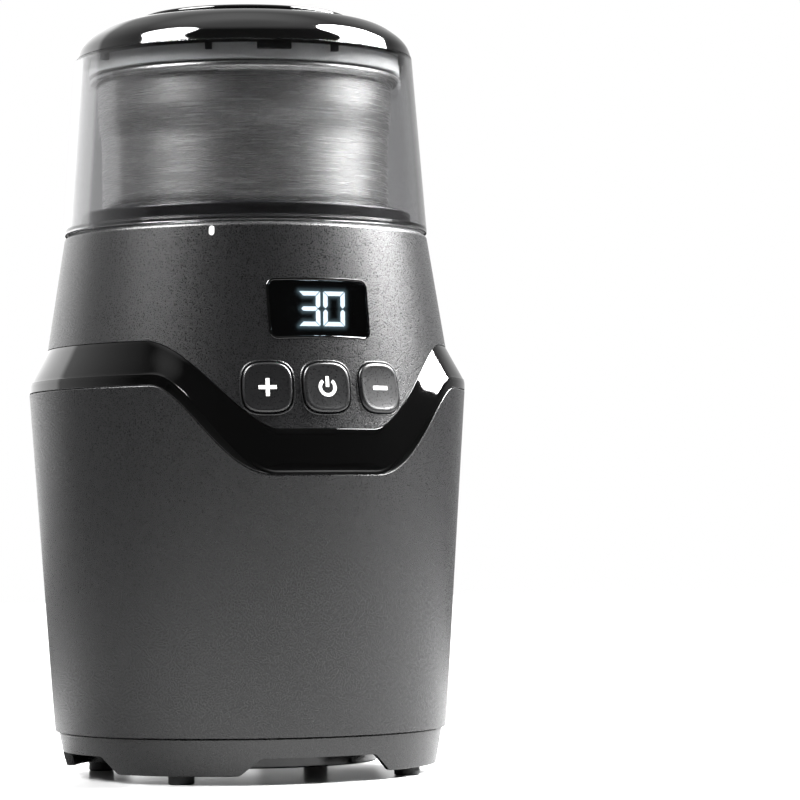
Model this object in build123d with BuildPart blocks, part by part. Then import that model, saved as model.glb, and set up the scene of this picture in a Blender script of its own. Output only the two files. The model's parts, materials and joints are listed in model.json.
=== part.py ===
from build123d import *
import os
from math import asin, atan, ceil, cos, degrees, radians, sin, sqrt

# Electric spice grinder, in millimetres. +Z is up, the origin is on the axis at the surface that the
# feet stand on, and the display and buttons face -Y. Angles on the case are measured from the front,
# positive towards +X.

os.makedirs("parts", exist_ok=True)

# ---------------------------------------------------------------- clearances
running_gap = 0.3  # between pieces that move apart
seam_gap = 0.15  # shadow line between mouldings of the case
shaft_clearance = 0.05  # radial, shaft in its bush
screw_clearance = 0.05  # radial, screw in its hole
seat_overlap = 1.0  # how far a rib or post runs into the wall that carries it
thread_depth = 4.5  # how far a case screw runs into its post

# ---------------------------------------------------------------- case
wall = 2.4
foot_height = 2.7
foot_radius = 4.0
foot_inset = 5.7  # middle of the feet inside the foot of the skirt
foot_plug_height = 1.5
foot_plug_radius = 2.0
skirt_height = 11.4
skirt_inset = 1.2  # top of the skirt inside the lower body
skirt_lean = 2.1  # foot of the skirt inside its top
base_floor = 2.7
notch_height = 5.4
notch_bottom_width = 49.6
notch_top_width = 37.4
lower_bottom_radius = 62.0
shoulder_reach = 11.9  # shoulder of the body outside the deck
lower_height = 106.6  # from the base seam to the lower edge of the trim band, at the sides
band_lip = 2.7  # lower edge of the band to its ridge
band_flare = 11.0  # ridge to the upper edge of the band
upper_height = 36.1  # upper edge of the band to the deck, at the sides
band_lean = 0.18  # how much wider the cone is than the ridge, at the front
deck_thickness = 2.6
deck_fillet = 1.4
seam_drop = 27.4  # how far the seams dip at the front
upper_seam = (19.5, 50.0, 0.65)  # half-angle of the flat bottom, half-angle where it is level, skew
ridge_seam = (15.5, 45.0, 0.8)
lower_seam = (18.5, 43.5, 1.15)
seam_step = 2.0  # degrees between the sections of the dip
vent_count = 12
vent_width = 2.4
vent_length = 13.0
vent_circle = 22.0
rib_half_width = 1.2
blind_end = 0.8  # plastic left over the end of a blind screw hole

# ---------------------------------------------------------------- display and buttons
window_width = 31.6
window_height = 17.3
window_corner = 1.8
window_centre = 144.0
window_recess = 0.25
bezel_width = 0.8
bezel_rise = 0.2
button_width = 15.2
button_height = 15.4
button_corner = 5.6
button_centre = 119.6
button_angle = 16.1
button_rise = 0.9
button_travel = 0.8
button_depth = 4.4
button_dish = 0.5
stem_radius = 2.0
board_width = 49.0
board_thickness = 1.6
board_gap = 2.4  # between the socket's wall and the board's front face
board_low = 106.5
board_high = 154.0
module_width = 34.0
module_height = 17.4
module_depth = 3.8
digit_width = 6.2
digit_height = 10.4
digit_pitch = 8.0
digit_shift = 3.1  # the lit digits stand right of the window's middle
segment_width = 1.3
segment_gap = 0.25
segment_depth = 0.3
switch_size = 6.0
switch_height = 3.4
plunger_height = 1.3
board_post_radius = 1.9
board_screw_radius = 0.9
mark_angle = -31.6
mark_width = 1.9
mark_height = 3.2
mark_rise = 0.3
stem_gap = 0.6  # between a pressed button's stem and its switch
module_fall = 0.4  # the module's middle is this much below the window's

# ---------------------------------------------------------------- bowl
bowl_rim_height = 221.0
rim_reach = 2.5  # rim outside the bowl's wall
rim_bead = 1.3
bowl_radius = 46.9
bowl_step = 1.2
bowl_step_share = 0.52  # where the step stands between the rounded corner and the rim
bowl_corner = 9.0
cup_wall = 0.8
collar_reach = 5.8  # collar outside the bowl's wall
collar_height = 6.5
collar_fillet = 1.2
web_thickness = 4.5
foot_ring_wall = 2.4
lug_height = 3.0
lug_reach = 2.7
lug_angle = 26.0
hub_radius = 24.7
hub_rise = 3.6
boss_radius = 10.0
boss_rise = 3.0
neck_radius = 12.0
nut_height = 2.0
blade_shaft_radius = 3.0
bush_radius = 5.5
arrow_angle = -13.2
arrow_length = 16.0
arrow_depth = 0.3
arrow_head = 3.4
arrow_rise = 0.6  # the arrow's middle is this much above the collar's
lug_turns = (30, 150, 270)  # middles of the bayonet lugs, from +X
lug_play = 4.0  # how much wider the gaps between the ledges are than the lugs
nut_reach = 4.5
neck_end = 0.5  # the hub's neck ends this much above the foot of the web
hub_seal_low = 2.0  # below the top of the boss
hub_seal_height = 2.6

# ---------------------------------------------------------------- blade
blade_span = 66.0
blade_thickness = 1.5
blade_plate_length = 20.0
blade_plate_width = 16.0
blade_root_width = 11.5
blade_tip_width = 5.4
blade_drop = 2.0
tip_rise = 5.0
tip_length = 4.0
rivet_radius = 2.6
rivet_height = 1.6
rivet_fillet = 1.2
blade_neck = 0.6  # radius of the stepped-down shaft end, as a share of the shaft's
washer_radius = 6.0
washer_lift = 0.9  # clear height between the boss and the washer
blade_lift = 1.9  # clear height between the boss and the blade

# ---------------------------------------------------------------- lid
lid_lip_wall = 4.5
lid_overhang = 0.2  # lid's lip outside the deck
lid_lip_height = 1.5
lid_wall = 2.0
lid_rim_gap = 4.35  # lid's top outside the bowl's rim
lid_over_rim = 6.15  # top of the lid's wall above the bowl's rim
lid_collar_gap = 0.7
cap_height = 13.5
cap_wall = 2.2
cap_plug_height = 2.6
cap_plug_wall = 1.4
disc_radius = 34.0
disc_height = 2.5
disc_fillet = 1.0
disc_groove = 0.6  # moat round the disc
dome_crown = 0.85  # top of the dome above the foot of the disc
dome_shelf = 2.55  # top of the dome outside the disc
seal_wall = 4.2
seal_height = 3.1
seal_inset = 0.9
tab_count = 4
tab_turn = -11.0  # turn of the snap tabs about the axis
tab_width = 10.5
tab_rib_width = 2.2
tab_rib_turn = 22.5  # from the middle of a tab to the rib on each side
ring_web = 0.8

# ---------------------------------------------------------------- socket and drive
collar_seat = 5.7  # collar outside the socket
socket_wall = 2.2
socket_depth = 17.9
socket_floor = 3.0
ledge_height = 2.5
flange_thickness = 2.2
seat_ring_height = 2.5
seat_ring_width = 8.0
dog_radius = 11.0
dog_disc = 2.5
dog_lug_height = 4.4
dog_lug_angle = 34.0
dog_lugs = 3
dog_lug_inner = 0.55  # inner radius of a lug, as a share of the dog's
seal_seat = 3.0  # wall of the shaft seal in the socket's floor
seal_rim = 5.0
seal_lip = 1.2
switch_length = 19.8
switch_width = 6.4
switch_depth = 10.0
switch_lift = 4.0  # top of the interlock switch above the socket's underside
pin_radius = 0.9

# ---------------------------------------------------------------- motor
shaft_radius = 3.5
mount_height = 4.0
mount_radius = 5.0
mount_spacing = 44.0
bracket_plate = 3.0
bracket_radius = 32.0
bracket_wall = 3.0
bracket_height = 16.0
core_height = 38.0
pole_bore = 16.0
yoke_wall = 6.0
pole_half_angle = 60.0
pole_angles = (90, 270)  # from +X
armature_gap = 0.6
winding_overhang = 6.0
commutator_radius = 10.0
commutator_height = 7.5
bearing_radius = 8.0
bearing_height = 7.0
fan_radius = 29.0
fan_height = 9.0
fan_blades = 9
motor_screw_radius = 1.4
brush_height = 5.0
brush_width = 6.0
brush_length = 11.0
brush_box_wall = 1.0
coil_overhang = 5.0
bracket_window = 16.0
bearing_seat_wall = 2.0
vent_hole_radius = 3.4
motor_screw_head = 2.2
commutator_lift = 2.0
commutator_bars = 24
armature_slots = 12
slot_radius = 1.7
winding_chamfer = 2.0
fan_plate = 1.4
fan_tip_gap = 1.0
fan_pitch = 18.0

# ---------------------------------------------------------------- base
spool_wall = 2.0
spool_height = 7.7
grommet_bore = 3.5
grommet_radius = 4.6
grommet_flange = 5.4
grommet_gap = 0.9  # between the grommet and the lower body's flange
power_board_height = 10.0  # above the base floor
power_board_radius = 42.0
power_parts = {  # place across, place back, width, depth and height on the power board
    "capacitor": (-14, 12, 20, 9, 14),
    "relay": (14, 12, 15, 12, 11),
    "heat_sink": (0, -12, 26, 3, 16),
    "terminal_block": (0, -24, 22, 8, 9),
}
grommet_rim = 1.4
foot_pad = 1.0  # how much wider the pads are than the feet
foot_fillet = 0.6
post_radius = 4.2
screw_radius = 1.5
screw_head_radius = 2.7
screw_head_height = 1.8
case_post_gap = 0.1  # between the case posts and the socket
case_post_top = 88.0
case_post_angles = (45, 135, 225, 315)
base_screw_inset = 5.8  # middle of the base screws inside the top of the skirt
base_screw_angles = (60, 120, 240, 300)

# ---------------------------------------------------------------- radii worked out from the sizes
rim_radius = bowl_radius + rim_reach
collar_radius = bowl_radius + collar_reach
lid_lip_inner = collar_radius + lid_collar_gap
lid_lip_radius = lid_lip_inner + lid_lip_wall
lid_top_radius = rim_radius + lid_rim_gap
deck_radius = lid_lip_radius - lid_overhang
shoulder_radius = deck_radius + shoulder_reach
socket_radius = collar_radius - collar_seat
board_front = socket_radius + socket_wall + board_gap
case_post_circle = socket_radius + socket_wall + post_radius + case_post_gap
skirt_top_radius = lower_bottom_radius - skirt_inset
skirt_bottom_radius = skirt_top_radius - skirt_lean
foot_circle = skirt_bottom_radius - foot_inset
base_screw_circle = skirt_top_radius - base_screw_inset
grommet_circle = base_screw_circle - 2 * screw_radius - grommet_gap - grommet_flange
spool_radius = grommet_circle - grommet_flange - running_gap

# ---------------------------------------------------------------- levels worked out from the sizes
skirt_top = foot_height + skirt_height
base_floor_low = skirt_top - base_floor
lower_bottom = skirt_top + seam_gap
lower_edge = lower_bottom + lower_height
ridge_edge = lower_edge + band_lip
upper_edge = ridge_edge + band_flare
deck_top = upper_edge + upper_height
deck_low = deck_top - deck_thickness
collar_low = deck_top + running_gap
collar_top = collar_low + collar_height
cup_low = collar_low + 1.5
cup_floor = cup_low + cup_wall
web_low = cup_low - web_thickness
web_radius = socket_radius - 2 * running_gap
socket_low = deck_low - socket_depth
socket_floor_top = socket_low + socket_floor
seat_ring_low = socket_floor_top + running_gap
seat_ring_top = seat_ring_low + seat_ring_height
foot_ring_low = seat_ring_top + running_gap
foot_ring_outer = web_radius - lug_reach
lug_low = foot_ring_low + 1.0
lug_top = lug_low + lug_height
ledge_low = lug_top + running_gap
ledge_top = ledge_low + ledge_height
ledge_inner = foot_ring_outer + 2 * running_gap
hub_top = cup_floor + hub_rise
boss_top = hub_top + boss_rise
blade_low = boss_top + blade_lift
blade_top = blade_low + blade_thickness
dog_low = socket_floor_top + 2.0
dog_lug_low = dog_low + dog_disc
driven_low = dog_lug_low + running_gap
driven_disc_low = dog_lug_low + dog_lug_height + running_gap
driven_disc_top = web_low - nut_height - 2 * running_gap
lid_low = deck_top + running_gap + 0.1
lid_top = bowl_rim_height + lid_over_rim
cap_top = lid_top + cap_height
seal_low = bowl_rim_height + running_gap
seal_top = seal_low + seal_height
pin_circle = lid_lip_inner + 0.7
flange_radius = pin_circle - pin_radius - running_gap
mount_low = socket_low - mount_height
upper_plate_low = mount_low - bracket_plate
core_top = mount_low - bracket_height - bracket_plate
core_low = core_top - core_height
lower_plate_low = core_low - bracket_height - bracket_plate
armature_radius = pole_bore - armature_gap
fan_low = lower_plate_low - bearing_height - fan_height
shaft_low = fan_low - 3.0
lower_taper = (shoulder_radius - lower_bottom_radius) / lower_height
front_ridge_radius = lower_bottom_radius + (ridge_edge - seam_drop - lower_bottom) * lower_taper
cone_foot = front_ridge_radius + band_lean
cone_taper = (cone_foot - deck_radius) / (deck_top - upper_edge + seam_drop)  # radius lost with height
cone_tilt = atan(cone_taper)


# ---------------------------------------------------------------- helpers
def upper_radius(height):
    """Outer radius of the upper cone at a height."""
    return deck_radius + (deck_top - height) * cone_taper


def lower_radius(height):
    """Outer radius of the lower body at a height."""
    return lower_bottom_radius + (height - lower_bottom) * lower_taper


def seam_height(angle, side_height, shape):
    """Height of a seam at an angle from the front: level at the sides and back, dipped at the front."""
    flat, rise, skew = shape
    along = min(max((abs(angle) - flat) / (rise - flat), 0), 1) ** skew
    return side_height - seam_drop * (1 - 3 * along**2 + 2 * along**3)


def outline(*points):
    """A closed outline of (radius, height) points, ready to revolve about the axis."""
    with BuildSketch(Plane.XZ) as profile:
        with BuildLine():
            Polyline(*points, close=True)
        make_face()
    return profile.sketch


def half_plane(angle):
    """The upright plane through the axis at an angle from the front, with x outwards and y up."""
    a = radians(angle)
    return Plane(origin=(0, 0, 0), x_dir=(sin(a), -cos(a), 0), z_dir=(-cos(a), -sin(a), 0))


def section(angle, points):
    """A closed outline of (radius, height) points on the half-plane at an angle."""
    with BuildSketch(half_plane(angle)) as cut:
        with BuildLine():
            Polyline(*points, close=True)
        make_face()
    return cut.sketch


def dipped_ring(points_at, shape):
    """A ring whose section follows a dipping seam: lofted across the dip and revolved round the rest."""
    rise = max(shape[1], upper_seam[1], ridge_seam[1], lower_seam[1])
    steps = ceil(2 * rise / seam_step)
    angles = [-rise + 2 * rise * i / steps for i in range(steps + 1)]
    with BuildPart() as ring:
        loft([section(angle, points_at(angle)) for angle in angles], ruled=True)
        revolve(section(rise, points_at(rise)), axis=Axis.Z, revolution_arc=360 - 2 * rise)
    return ring.part


def below_seam(side_height, shape, low=0.0):
    """Everything outside the motor space and below a seam."""
    inner, outer = socket_radius, 1.2 * shoulder_radius

    def points_at(angle):
        top = seam_height(angle, side_height, shape)
        return [(inner, low), (outer, low), (outer, top), (inner, top)]

    return dipped_ring(points_at, shape)


def face_plane(angle, height):
    """The plane on the upper cone at an angle and height, with x to the right and z outwards."""
    a = radians(angle)
    radius = upper_radius(height)
    outward = (sin(a) * cos(cone_tilt), -cos(a) * cos(cone_tilt), sin(cone_tilt))
    origin = (radius * sin(a), -radius * cos(a), height)
    return Plane(origin=origin, x_dir=(cos(a), sin(a), 0), z_dir=outward)


def ring_spots(circle, angles):
    """Locations on a circle at angles from the front."""
    return Locations(*[(circle * sin(radians(a)), -circle * cos(radians(a))) for a in angles])


def save(piece, name):
    """Labels a finished piece and writes it as one STEP file."""
    piece.part.label = name
    export_step(piece.part, f"parts/{name}.step")


# ---------------------------------------------------------------- case mouldings
def rib_beside(angle, low, high, radius_at):
    """A rib on a half-plane, from a case post to the middle of the wall outside it."""
    with BuildPart() as rib:
        reach = wall - seat_overlap
        points = [
            (case_post_circle, low),
            (radius_at(low) - reach, low),
            (radius_at(high) - reach, high),
            (case_post_circle, high),
        ]
        extrude(section(angle, points), amount=rib_half_width, both=True)
    return rib.part


def make_lower_shell():
    """The tapered lower body, open at the top, with a flange for the base and four screw posts."""
    flange_top = lower_bottom + wall
    with BuildPart() as shell:
        revolve(
            outline(
                (lower_bottom_radius - wall, lower_bottom),
                (lower_bottom_radius, lower_bottom),
                (lower_radius(lower_edge), lower_edge),
                (lower_radius(lower_edge) - wall, lower_edge),
            )
        )
        add(below_seam(lower_edge - seam_gap, lower_seam), mode=Mode.INTERSECT)
        with BuildSketch(Plane.XY.offset(lower_bottom)):
            Circle(lower_bottom_radius - wall + seat_overlap)
            Circle(base_screw_circle - 2 * screw_radius, mode=Mode.SUBTRACT)
        extrude(amount=wall)
        with BuildSketch(Plane.XY.offset(lower_bottom)):
            with ring_spots(case_post_circle, case_post_angles):
                Circle(post_radius)
        extrude(amount=case_post_top - lower_bottom)
        with BuildSketch(Plane.XY.offset(lower_bottom)):
            with ring_spots(base_screw_circle, base_screw_angles):
                Circle(post_radius - 1)
        extrude(amount=4 * wall)
        for angle in case_post_angles:
            add(rib_beside(angle, flange_top, case_post_top, lower_radius))
        with BuildSketch(Plane.XY.offset(lower_bottom)):
            with ring_spots(case_post_circle, case_post_angles):
                Circle(screw_head_radius + running_gap)
        extrude(amount=case_post_top - lower_bottom - thread_depth, mode=Mode.SUBTRACT)
        with BuildSketch(Plane.XY.offset(lower_bottom)):
            with ring_spots(case_post_circle, case_post_angles):
                Circle(screw_radius + screw_clearance)
        extrude(amount=case_post_top - lower_bottom, mode=Mode.SUBTRACT)
        with BuildSketch(Plane.XY.offset(lower_bottom)):
            with ring_spots(base_screw_circle, base_screw_angles):
                Circle(screw_radius + screw_clearance)
        extrude(amount=4 * wall - 1, mode=Mode.SUBTRACT)
    return shell


def band_section(angle):
    """The section of the trim band at an angle: a flare down to a ridge, then a short lip."""
    top = seam_height(angle, upper_edge, upper_seam)
    ridge = seam_height(angle, ridge_edge, ridge_seam)
    low = seam_height(angle, lower_edge, lower_seam)
    ridge = min(max(ridge, low + band_lip / 2), top - band_lip)
    outer_low = lower_radius(low)
    outer_ridge = min(lower_radius(ridge), shoulder_radius)
    return [
        (upper_radius(top), top),
        (outer_ridge, ridge),
        (outer_low, low),
        (outer_low - wall, low),
        (outer_ridge - wall, ridge - wall / 2),
        (upper_radius(top) - wall, top),
    ]


def make_trim_band():
    """The gloss band between the two shells, which dips under the buttons."""
    with BuildPart() as band:
        add(dipped_ring(band_section, upper_seam))
    return band


def make_upper_shell():
    """The upper cone with its deck, the openings for display and buttons, and the inner posts."""
    cone_low = upper_edge - seam_drop
    post_low = case_post_top + running_gap
    post_top = upper_edge + 0.6 * upper_height
    rib_low = upper_edge + 2
    with BuildPart() as shell:
        revolve(
            outline(
                (upper_radius(cone_low) - wall, cone_low),
                (upper_radius(cone_low), cone_low),
                (deck_radius, deck_top),
                (socket_radius, deck_top),
                (socket_radius, deck_low),
                (upper_radius(deck_low) - wall, deck_low),
            )
        )
        rim = shell.edges().filter_by(GeomType.CIRCLE).group_by(Axis.Z)[-1].sort_by(SortBy.RADIUS)[-1]
        fillet(rim, deck_fillet)
        add(below_seam(upper_edge + seam_gap, upper_seam), mode=Mode.SUBTRACT)
        with BuildSketch(Plane.XY.offset(post_low)):
            with ring_spots(case_post_circle, case_post_angles):
                Circle(post_radius)
        extrude(amount=post_top - post_low)
        for angle in case_post_angles:
            add(rib_beside(angle, rib_low, post_top, upper_radius))
        with BuildSketch(Plane.XY.offset(post_low)):
            with ring_spots(case_post_circle, case_post_angles):
                Circle(screw_radius + screw_clearance)
        extrude(amount=3 * thread_depth - wall, mode=Mode.SUBTRACT)
        for x, height in board_post_spots():
            post_back = sqrt((upper_radius(height) - wall) ** 2 - x**2) + seat_overlap
            with BuildSketch(Plane.XZ.offset(board_front)):
                with Locations((x, height)):
                    Circle(board_post_radius)
            extrude(amount=post_back - board_front)
            with BuildSketch(Plane.XZ.offset(board_front)):
                with Locations((x, height)):
                    Circle(board_screw_radius + screw_clearance)
            extrude(amount=4 * board_screw_radius, mode=Mode.SUBTRACT)
        extrude(face_outline(bezel_plane(), bezel_size()), amount=2 * wall, both=True, mode=Mode.SUBTRACT)
        for angle in button_angles().values():
            width = button_width + 2 * running_gap
            height = button_height + 2 * running_gap
            plane = face_plane(angle, button_centre)
            hole = face_outline(plane, (width, height, button_corner + running_gap))
            extrude(hole, amount=2 * wall, both=True, mode=Mode.SUBTRACT)
        with BuildSketch(Plane.XY.offset(deck_low)):
            with ring_spots(pin_circle, [180]):
                Circle(pin_radius + shaft_clearance)
        extrude(amount=deck_thickness, mode=Mode.SUBTRACT)
        with BuildSketch(Plane.XY.offset(deck_low)):
            with ring_spots(socket_screw_circle(), socket_screw_angles()):
                Circle(screw_radius + screw_clearance)
        extrude(amount=deck_thickness - blind_end, mode=Mode.SUBTRACT)
    return shell


def board_post_spots():
    """Across and height of the four posts that carry the control board."""
    across = board_width / 2 - board_post_radius
    return [
        (side * across, height)
        for side in (-1, 1)
        for height in (board_low + board_post_radius + 1, board_high - board_post_radius)
    ]


def socket_screw_circle():
    """Radius of the circle of screws that hold the socket under the deck."""
    return (socket_radius + socket_wall + flange_radius) / 2


def socket_screw_angles():
    """Angles of the socket's screws, clear of the case posts and the interlock pin."""
    return (90, 210, 330)


def make_alignment_mark():
    """A small raised pill on the top edge of the upper shell, which the bowl's arrow turns to."""
    plane = face_plane(mark_angle, deck_top - deck_fillet - mark_height / 2)
    with BuildPart() as mark:
        with BuildSketch(plane):
            SlotOverall(mark_height, mark_width, rotation=90)
        extrude(amount=mark_rise)
    return mark


# ---------------------------------------------------------------- display and buttons
def face_outline(plane, size):
    """A rounded rectangle of (width, height, corner) on a plane of the case."""
    with BuildSketch(plane) as shape:
        RectangleRounded(*size)
    return shape.sketch


def bezel_plane():
    """The plane of the display on the cone."""
    return face_plane(0, window_centre)


def bezel_size():
    """Width, height and corner of the bezel's outside."""
    return (window_width + 2 * bezel_width, window_height + 2 * bezel_width, window_corner + bezel_width)


def cone_layer(outer_offset, inner_offset):
    """A layer of the upper cone between two offsets of its outer face, over the display's height."""
    low = window_centre - window_height
    high = window_centre + window_height
    with BuildPart() as layer:
        revolve(
            outline(
                (upper_radius(low) + inner_offset, low),
                (upper_radius(low) + outer_offset, low),
                (upper_radius(high) + outer_offset, high),
                (upper_radius(high) + inner_offset, high),
            )
        )
    return layer.part


def make_display_bezel():
    """The thin frame round the display's window."""
    with BuildPart() as bezel:
        extrude(face_outline(bezel_plane(), bezel_size()), amount=2 * wall, both=True)
        inside = face_outline(bezel_plane(), (window_width, window_height, window_corner))
        extrude(inside, amount=3 * wall, both=True, mode=Mode.SUBTRACT)
        add(cone_layer(bezel_rise, -wall), mode=Mode.INTERSECT)
    return bezel


def make_display_window():
    """The smoked lens, which follows the cone just below its face."""
    with BuildPart() as window:
        inside = face_outline(bezel_plane(), (window_width, window_height, window_corner))
        extrude(inside, amount=2 * wall, both=True)
        add(cone_layer(-window_recess, -wall), mode=Mode.INTERSECT)
    return window


def make_display_module():
    """The block behind the lens that holds the lit segments, soldered to the control board."""
    with BuildPart() as module:
        with BuildSketch(Plane.XZ.offset(board_front)):
            with Locations((0, window_centre - module_fall)):
                RectangleRounded(module_width, module_height, 0.8)
        extrude(amount=module_depth)
    return module


def segment_bars(lit):
    """Sizes and places of the seven-segment bars named in lit, about a digit's middle."""
    along = digit_width - 2 * segment_gap - segment_width
    half = digit_height / 2
    upright = half - 2 * segment_gap - segment_width / 2
    side = (digit_width - segment_width) / 2
    places = {
        "top": (0, half - segment_width / 2, along, segment_width),
        "middle": (0, 0, along, segment_width),
        "bottom": (0, -half + segment_width / 2, along, segment_width),
        "upper_left": (-side, half / 2, segment_width, upright),
        "lower_left": (-side, -half / 2, segment_width, upright),
        "upper_right": (side, half / 2, segment_width, upright),
        "lower_right": (side, -half / 2, segment_width, upright),
    }
    return [places[name] for name in lit]


def make_display_digits():
    """The lit bars of the two digits, three and nought, on the face of the display module."""
    three = ("top", "middle", "bottom", "upper_right", "lower_right")
    nought = ("top", "bottom", "upper_left", "lower_left", "upper_right", "lower_right")
    with BuildPart() as digits:
        with BuildSketch(Plane.XZ.offset(board_front + module_depth)):
            for place, lit in ((-0.5, three), (0.5, nought)):
                middle = digit_shift + place * digit_pitch
                for x, z, width, height in segment_bars(lit):
                    with Locations((middle + x, window_centre + z)):
                        Rectangle(width - segment_gap, height - segment_gap)
        extrude(amount=segment_depth)
    return digits


def button_angles():
    """The three buttons and their angles from the front."""
    return {"plus_button": -button_angle, "power_button": 0.0, "minus_button": button_angle}


def make_button(angle):
    """A squircle push button with a dished face, a retaining flange and a stem towards its switch."""
    plane = face_plane(angle, button_centre)
    tip = board_front + switch_height + plunger_height + button_travel + stem_gap
    level = upper_radius(button_centre) * cos(radians(angle)) - tip
    stem = level / (cos(cone_tilt) * cos(radians(angle)))
    with BuildPart() as button:
        extrude(
            face_outline(plane.offset(-button_depth), (button_width, button_height, button_corner)),
            amount=button_depth + button_rise,
        )
        face = button.faces().filter_by(GeomType.PLANE).sort_by(lambda f: f.center().dot(plane.z_dir))[-1]
        fillet(face.edges(), button_rise)
        dish_radius = (button_width**2 / 5 + button_dish**2) / (2 * button_dish)
        dish = plane.offset(button_rise + dish_radius - button_dish)
        with Locations(dish.location):
            Sphere(dish_radius, mode=Mode.SUBTRACT)
        with BuildSketch(plane.offset(-stem)):
            Circle(stem_radius)
        extrude(amount=stem - button_depth / 2)
    return button


def make_control_board():
    """The upright circuit board behind the display and buttons."""
    with BuildPart() as board:
        with BuildSketch(Plane.XZ.offset(board_front - board_thickness)):
            with Locations((0, (board_low + board_high) / 2)):
                RectangleRounded(board_width, board_high - board_low, 1.5)
            with Locations(*board_post_spots()):
                Circle(board_screw_radius + screw_clearance, mode=Mode.SUBTRACT)
        extrude(amount=board_thickness)
    return board


def make_button_switches():
    """Three tact switches on the board, one behind each button's stem."""
    with BuildPart() as switches:
        for angle in button_angles().values():
            reach = board_front + switch_height + plunger_height
            x = reach * sin(radians(angle)) / cos(radians(angle))
            z = button_centre - (upper_radius(button_centre) - reach / cos(radians(angle))) * cone_taper
            with BuildSketch(Plane.XZ.offset(board_front)):
                with Locations((x, z)):
                    Rectangle(switch_size, switch_size)
            extrude(amount=switch_height)
            with BuildSketch(Plane.XZ.offset(board_front + switch_height)):
                with Locations((x, z)):
                    Circle(stem_radius - 0.3)
            extrude(amount=plunger_height)
    return switches


def make_board_screws():
    """Four small screws that hold the control board to its posts."""
    with BuildPart() as screws:
        with BuildSketch(Plane.XZ.offset(board_front - board_thickness)):
            with Locations(*board_post_spots()):
                Circle(board_screw_radius)
        extrude(amount=board_thickness + 3 * board_screw_radius)
        with BuildSketch(Plane.XZ.offset(board_front - board_thickness - board_screw_radius)):
            with Locations(*board_post_spots()):
                Circle(2 * board_screw_radius)
        extrude(amount=board_screw_radius)
    return screws


# ---------------------------------------------------------------- lid
def make_lid_cover():
    """The clear tapered wall of the lid, with a thick lip at its lower edge."""
    lip_top = lid_low + lid_lip_height
    wall_low = lip_top + 0.8
    wall_radius = lid_lip_radius - 0.45
    with BuildPart() as cover:
        revolve(
            outline(
                (lid_lip_inner, lid_low),
                (lid_lip_radius, lid_low),
                (lid_lip_radius, lip_top),
                (wall_radius, wall_low),
                (lid_top_radius, lid_top),
                (lid_top_radius - lid_wall, lid_top),
                (wall_radius - lid_wall, wall_low + 0.8),
                (lid_lip_inner, lip_top),
            )
        )
    return cover


def dome_points(inset, low):
    """Points of the cap's dome from its lower edge to its shoulder, moved in by an inset."""
    rise = cap_height - disc_height + dome_crown
    shoulder = disc_radius + dome_shelf
    reach = lid_top_radius - shoulder
    shape = ((1.0, 0.0), (0.916, 0.32), (0.741, 0.59), (0.434, 0.856), (0.0, 1.0))
    return [(shoulder + reach * r - inset, low + rise * h) for r, h in shape]


def make_lid_cap():
    """The gloss dome that closes the lid, with a recess for the disc and a plug ring inside the wall."""
    recess = cap_top - disc_height
    plug_outer = lid_top_radius - lid_wall - screw_clearance
    outer = dome_points(0, lid_top)
    inner = dome_points(cap_wall, lid_top - cap_wall)
    groove = disc_radius + disc_groove
    with BuildPart() as cap:
        with BuildSketch(Plane.XZ):
            with BuildLine():
                shoulder = Spline(*outer)
                Polyline(
                    shoulder @ 1,
                    (groove + disc_groove / 2, recess + disc_groove),
                    (groove, recess),
                    (0, recess),
                    (0, recess - cap_wall),
                    inner[-1],
                )
                ceiling = Spline(*reversed(inner[1:]))
                Polyline(
                    ceiling @ 1,
                    (plug_outer - cap_plug_wall, lid_top),
                    (plug_outer - cap_plug_wall, lid_top - cap_plug_height),
                    (plug_outer, lid_top - cap_plug_height),
                    (plug_outer, lid_top),
                    outer[0],
                )
            make_face()
        revolve(axis=Axis.Z)
    return cap


def make_lid_disc():
    """The raised round panel in the middle of the cap."""
    with BuildPart() as disc:
        with BuildSketch(Plane.XY.offset(cap_top - disc_height)):
            Circle(disc_radius)
        extrude(amount=disc_height)
        fillet(disc.edges().group_by(Axis.Z)[-1], disc_fillet)
    return disc


def make_lid_inner_ring():
    """The ring inside the cap's plug that carries the seal, with snap tabs under the plug's edge."""
    outer = lid_top_radius - lid_wall - screw_clearance - cap_plug_wall - screw_clearance
    plug_low = lid_top - cap_plug_height
    tab_reach = outer + cap_plug_wall
    with BuildPart() as ring:
        revolve(
            outline(
                (outer - seal_wall, seal_top),
                (outer, seal_top),
                (outer, lid_top),
                (outer - cap_plug_wall, lid_top),
                (outer - seal_wall, seal_top + 2),
            )
        )
        tab_low = plug_low - seal_height / 2
        with BuildSketch(Plane.XY.offset(tab_low)):
            for turn, width in ((0, tab_width), (-tab_rib_turn, tab_rib_width), (tab_rib_turn, tab_rib_width)):
                with PolarLocations((outer + tab_reach) / 2, tab_count, start_angle=tab_turn + turn):
                    Rectangle(tab_reach - outer + seat_overlap, width)
            Circle(tab_reach, mode=Mode.INTERSECT)
            Circle(outer - ring_web / 2, mode=Mode.SUBTRACT)
        extrude(amount=plug_low - tab_low - screw_clearance)
        with BuildSketch(Plane.XY.offset(tab_low)):
            Circle(outer)
            Circle(outer - ring_web, mode=Mode.SUBTRACT)
        extrude(amount=seal_top - tab_low)
    return ring


def make_lid_seal():
    """The soft ring that presses on the bowl's rim."""
    outer = lid_top_radius - lid_wall - 2 * screw_clearance - cap_plug_wall - seal_inset
    with BuildPart() as seal:
        revolve(
            outline(
                (outer - seal_wall, seal_low + 0.8),
                (outer - seal_wall + 1.2, seal_low),
                (outer, seal_low),
                (outer, seal_top),
                (outer - seal_wall, seal_top),
            )
        )
    return seal


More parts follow.
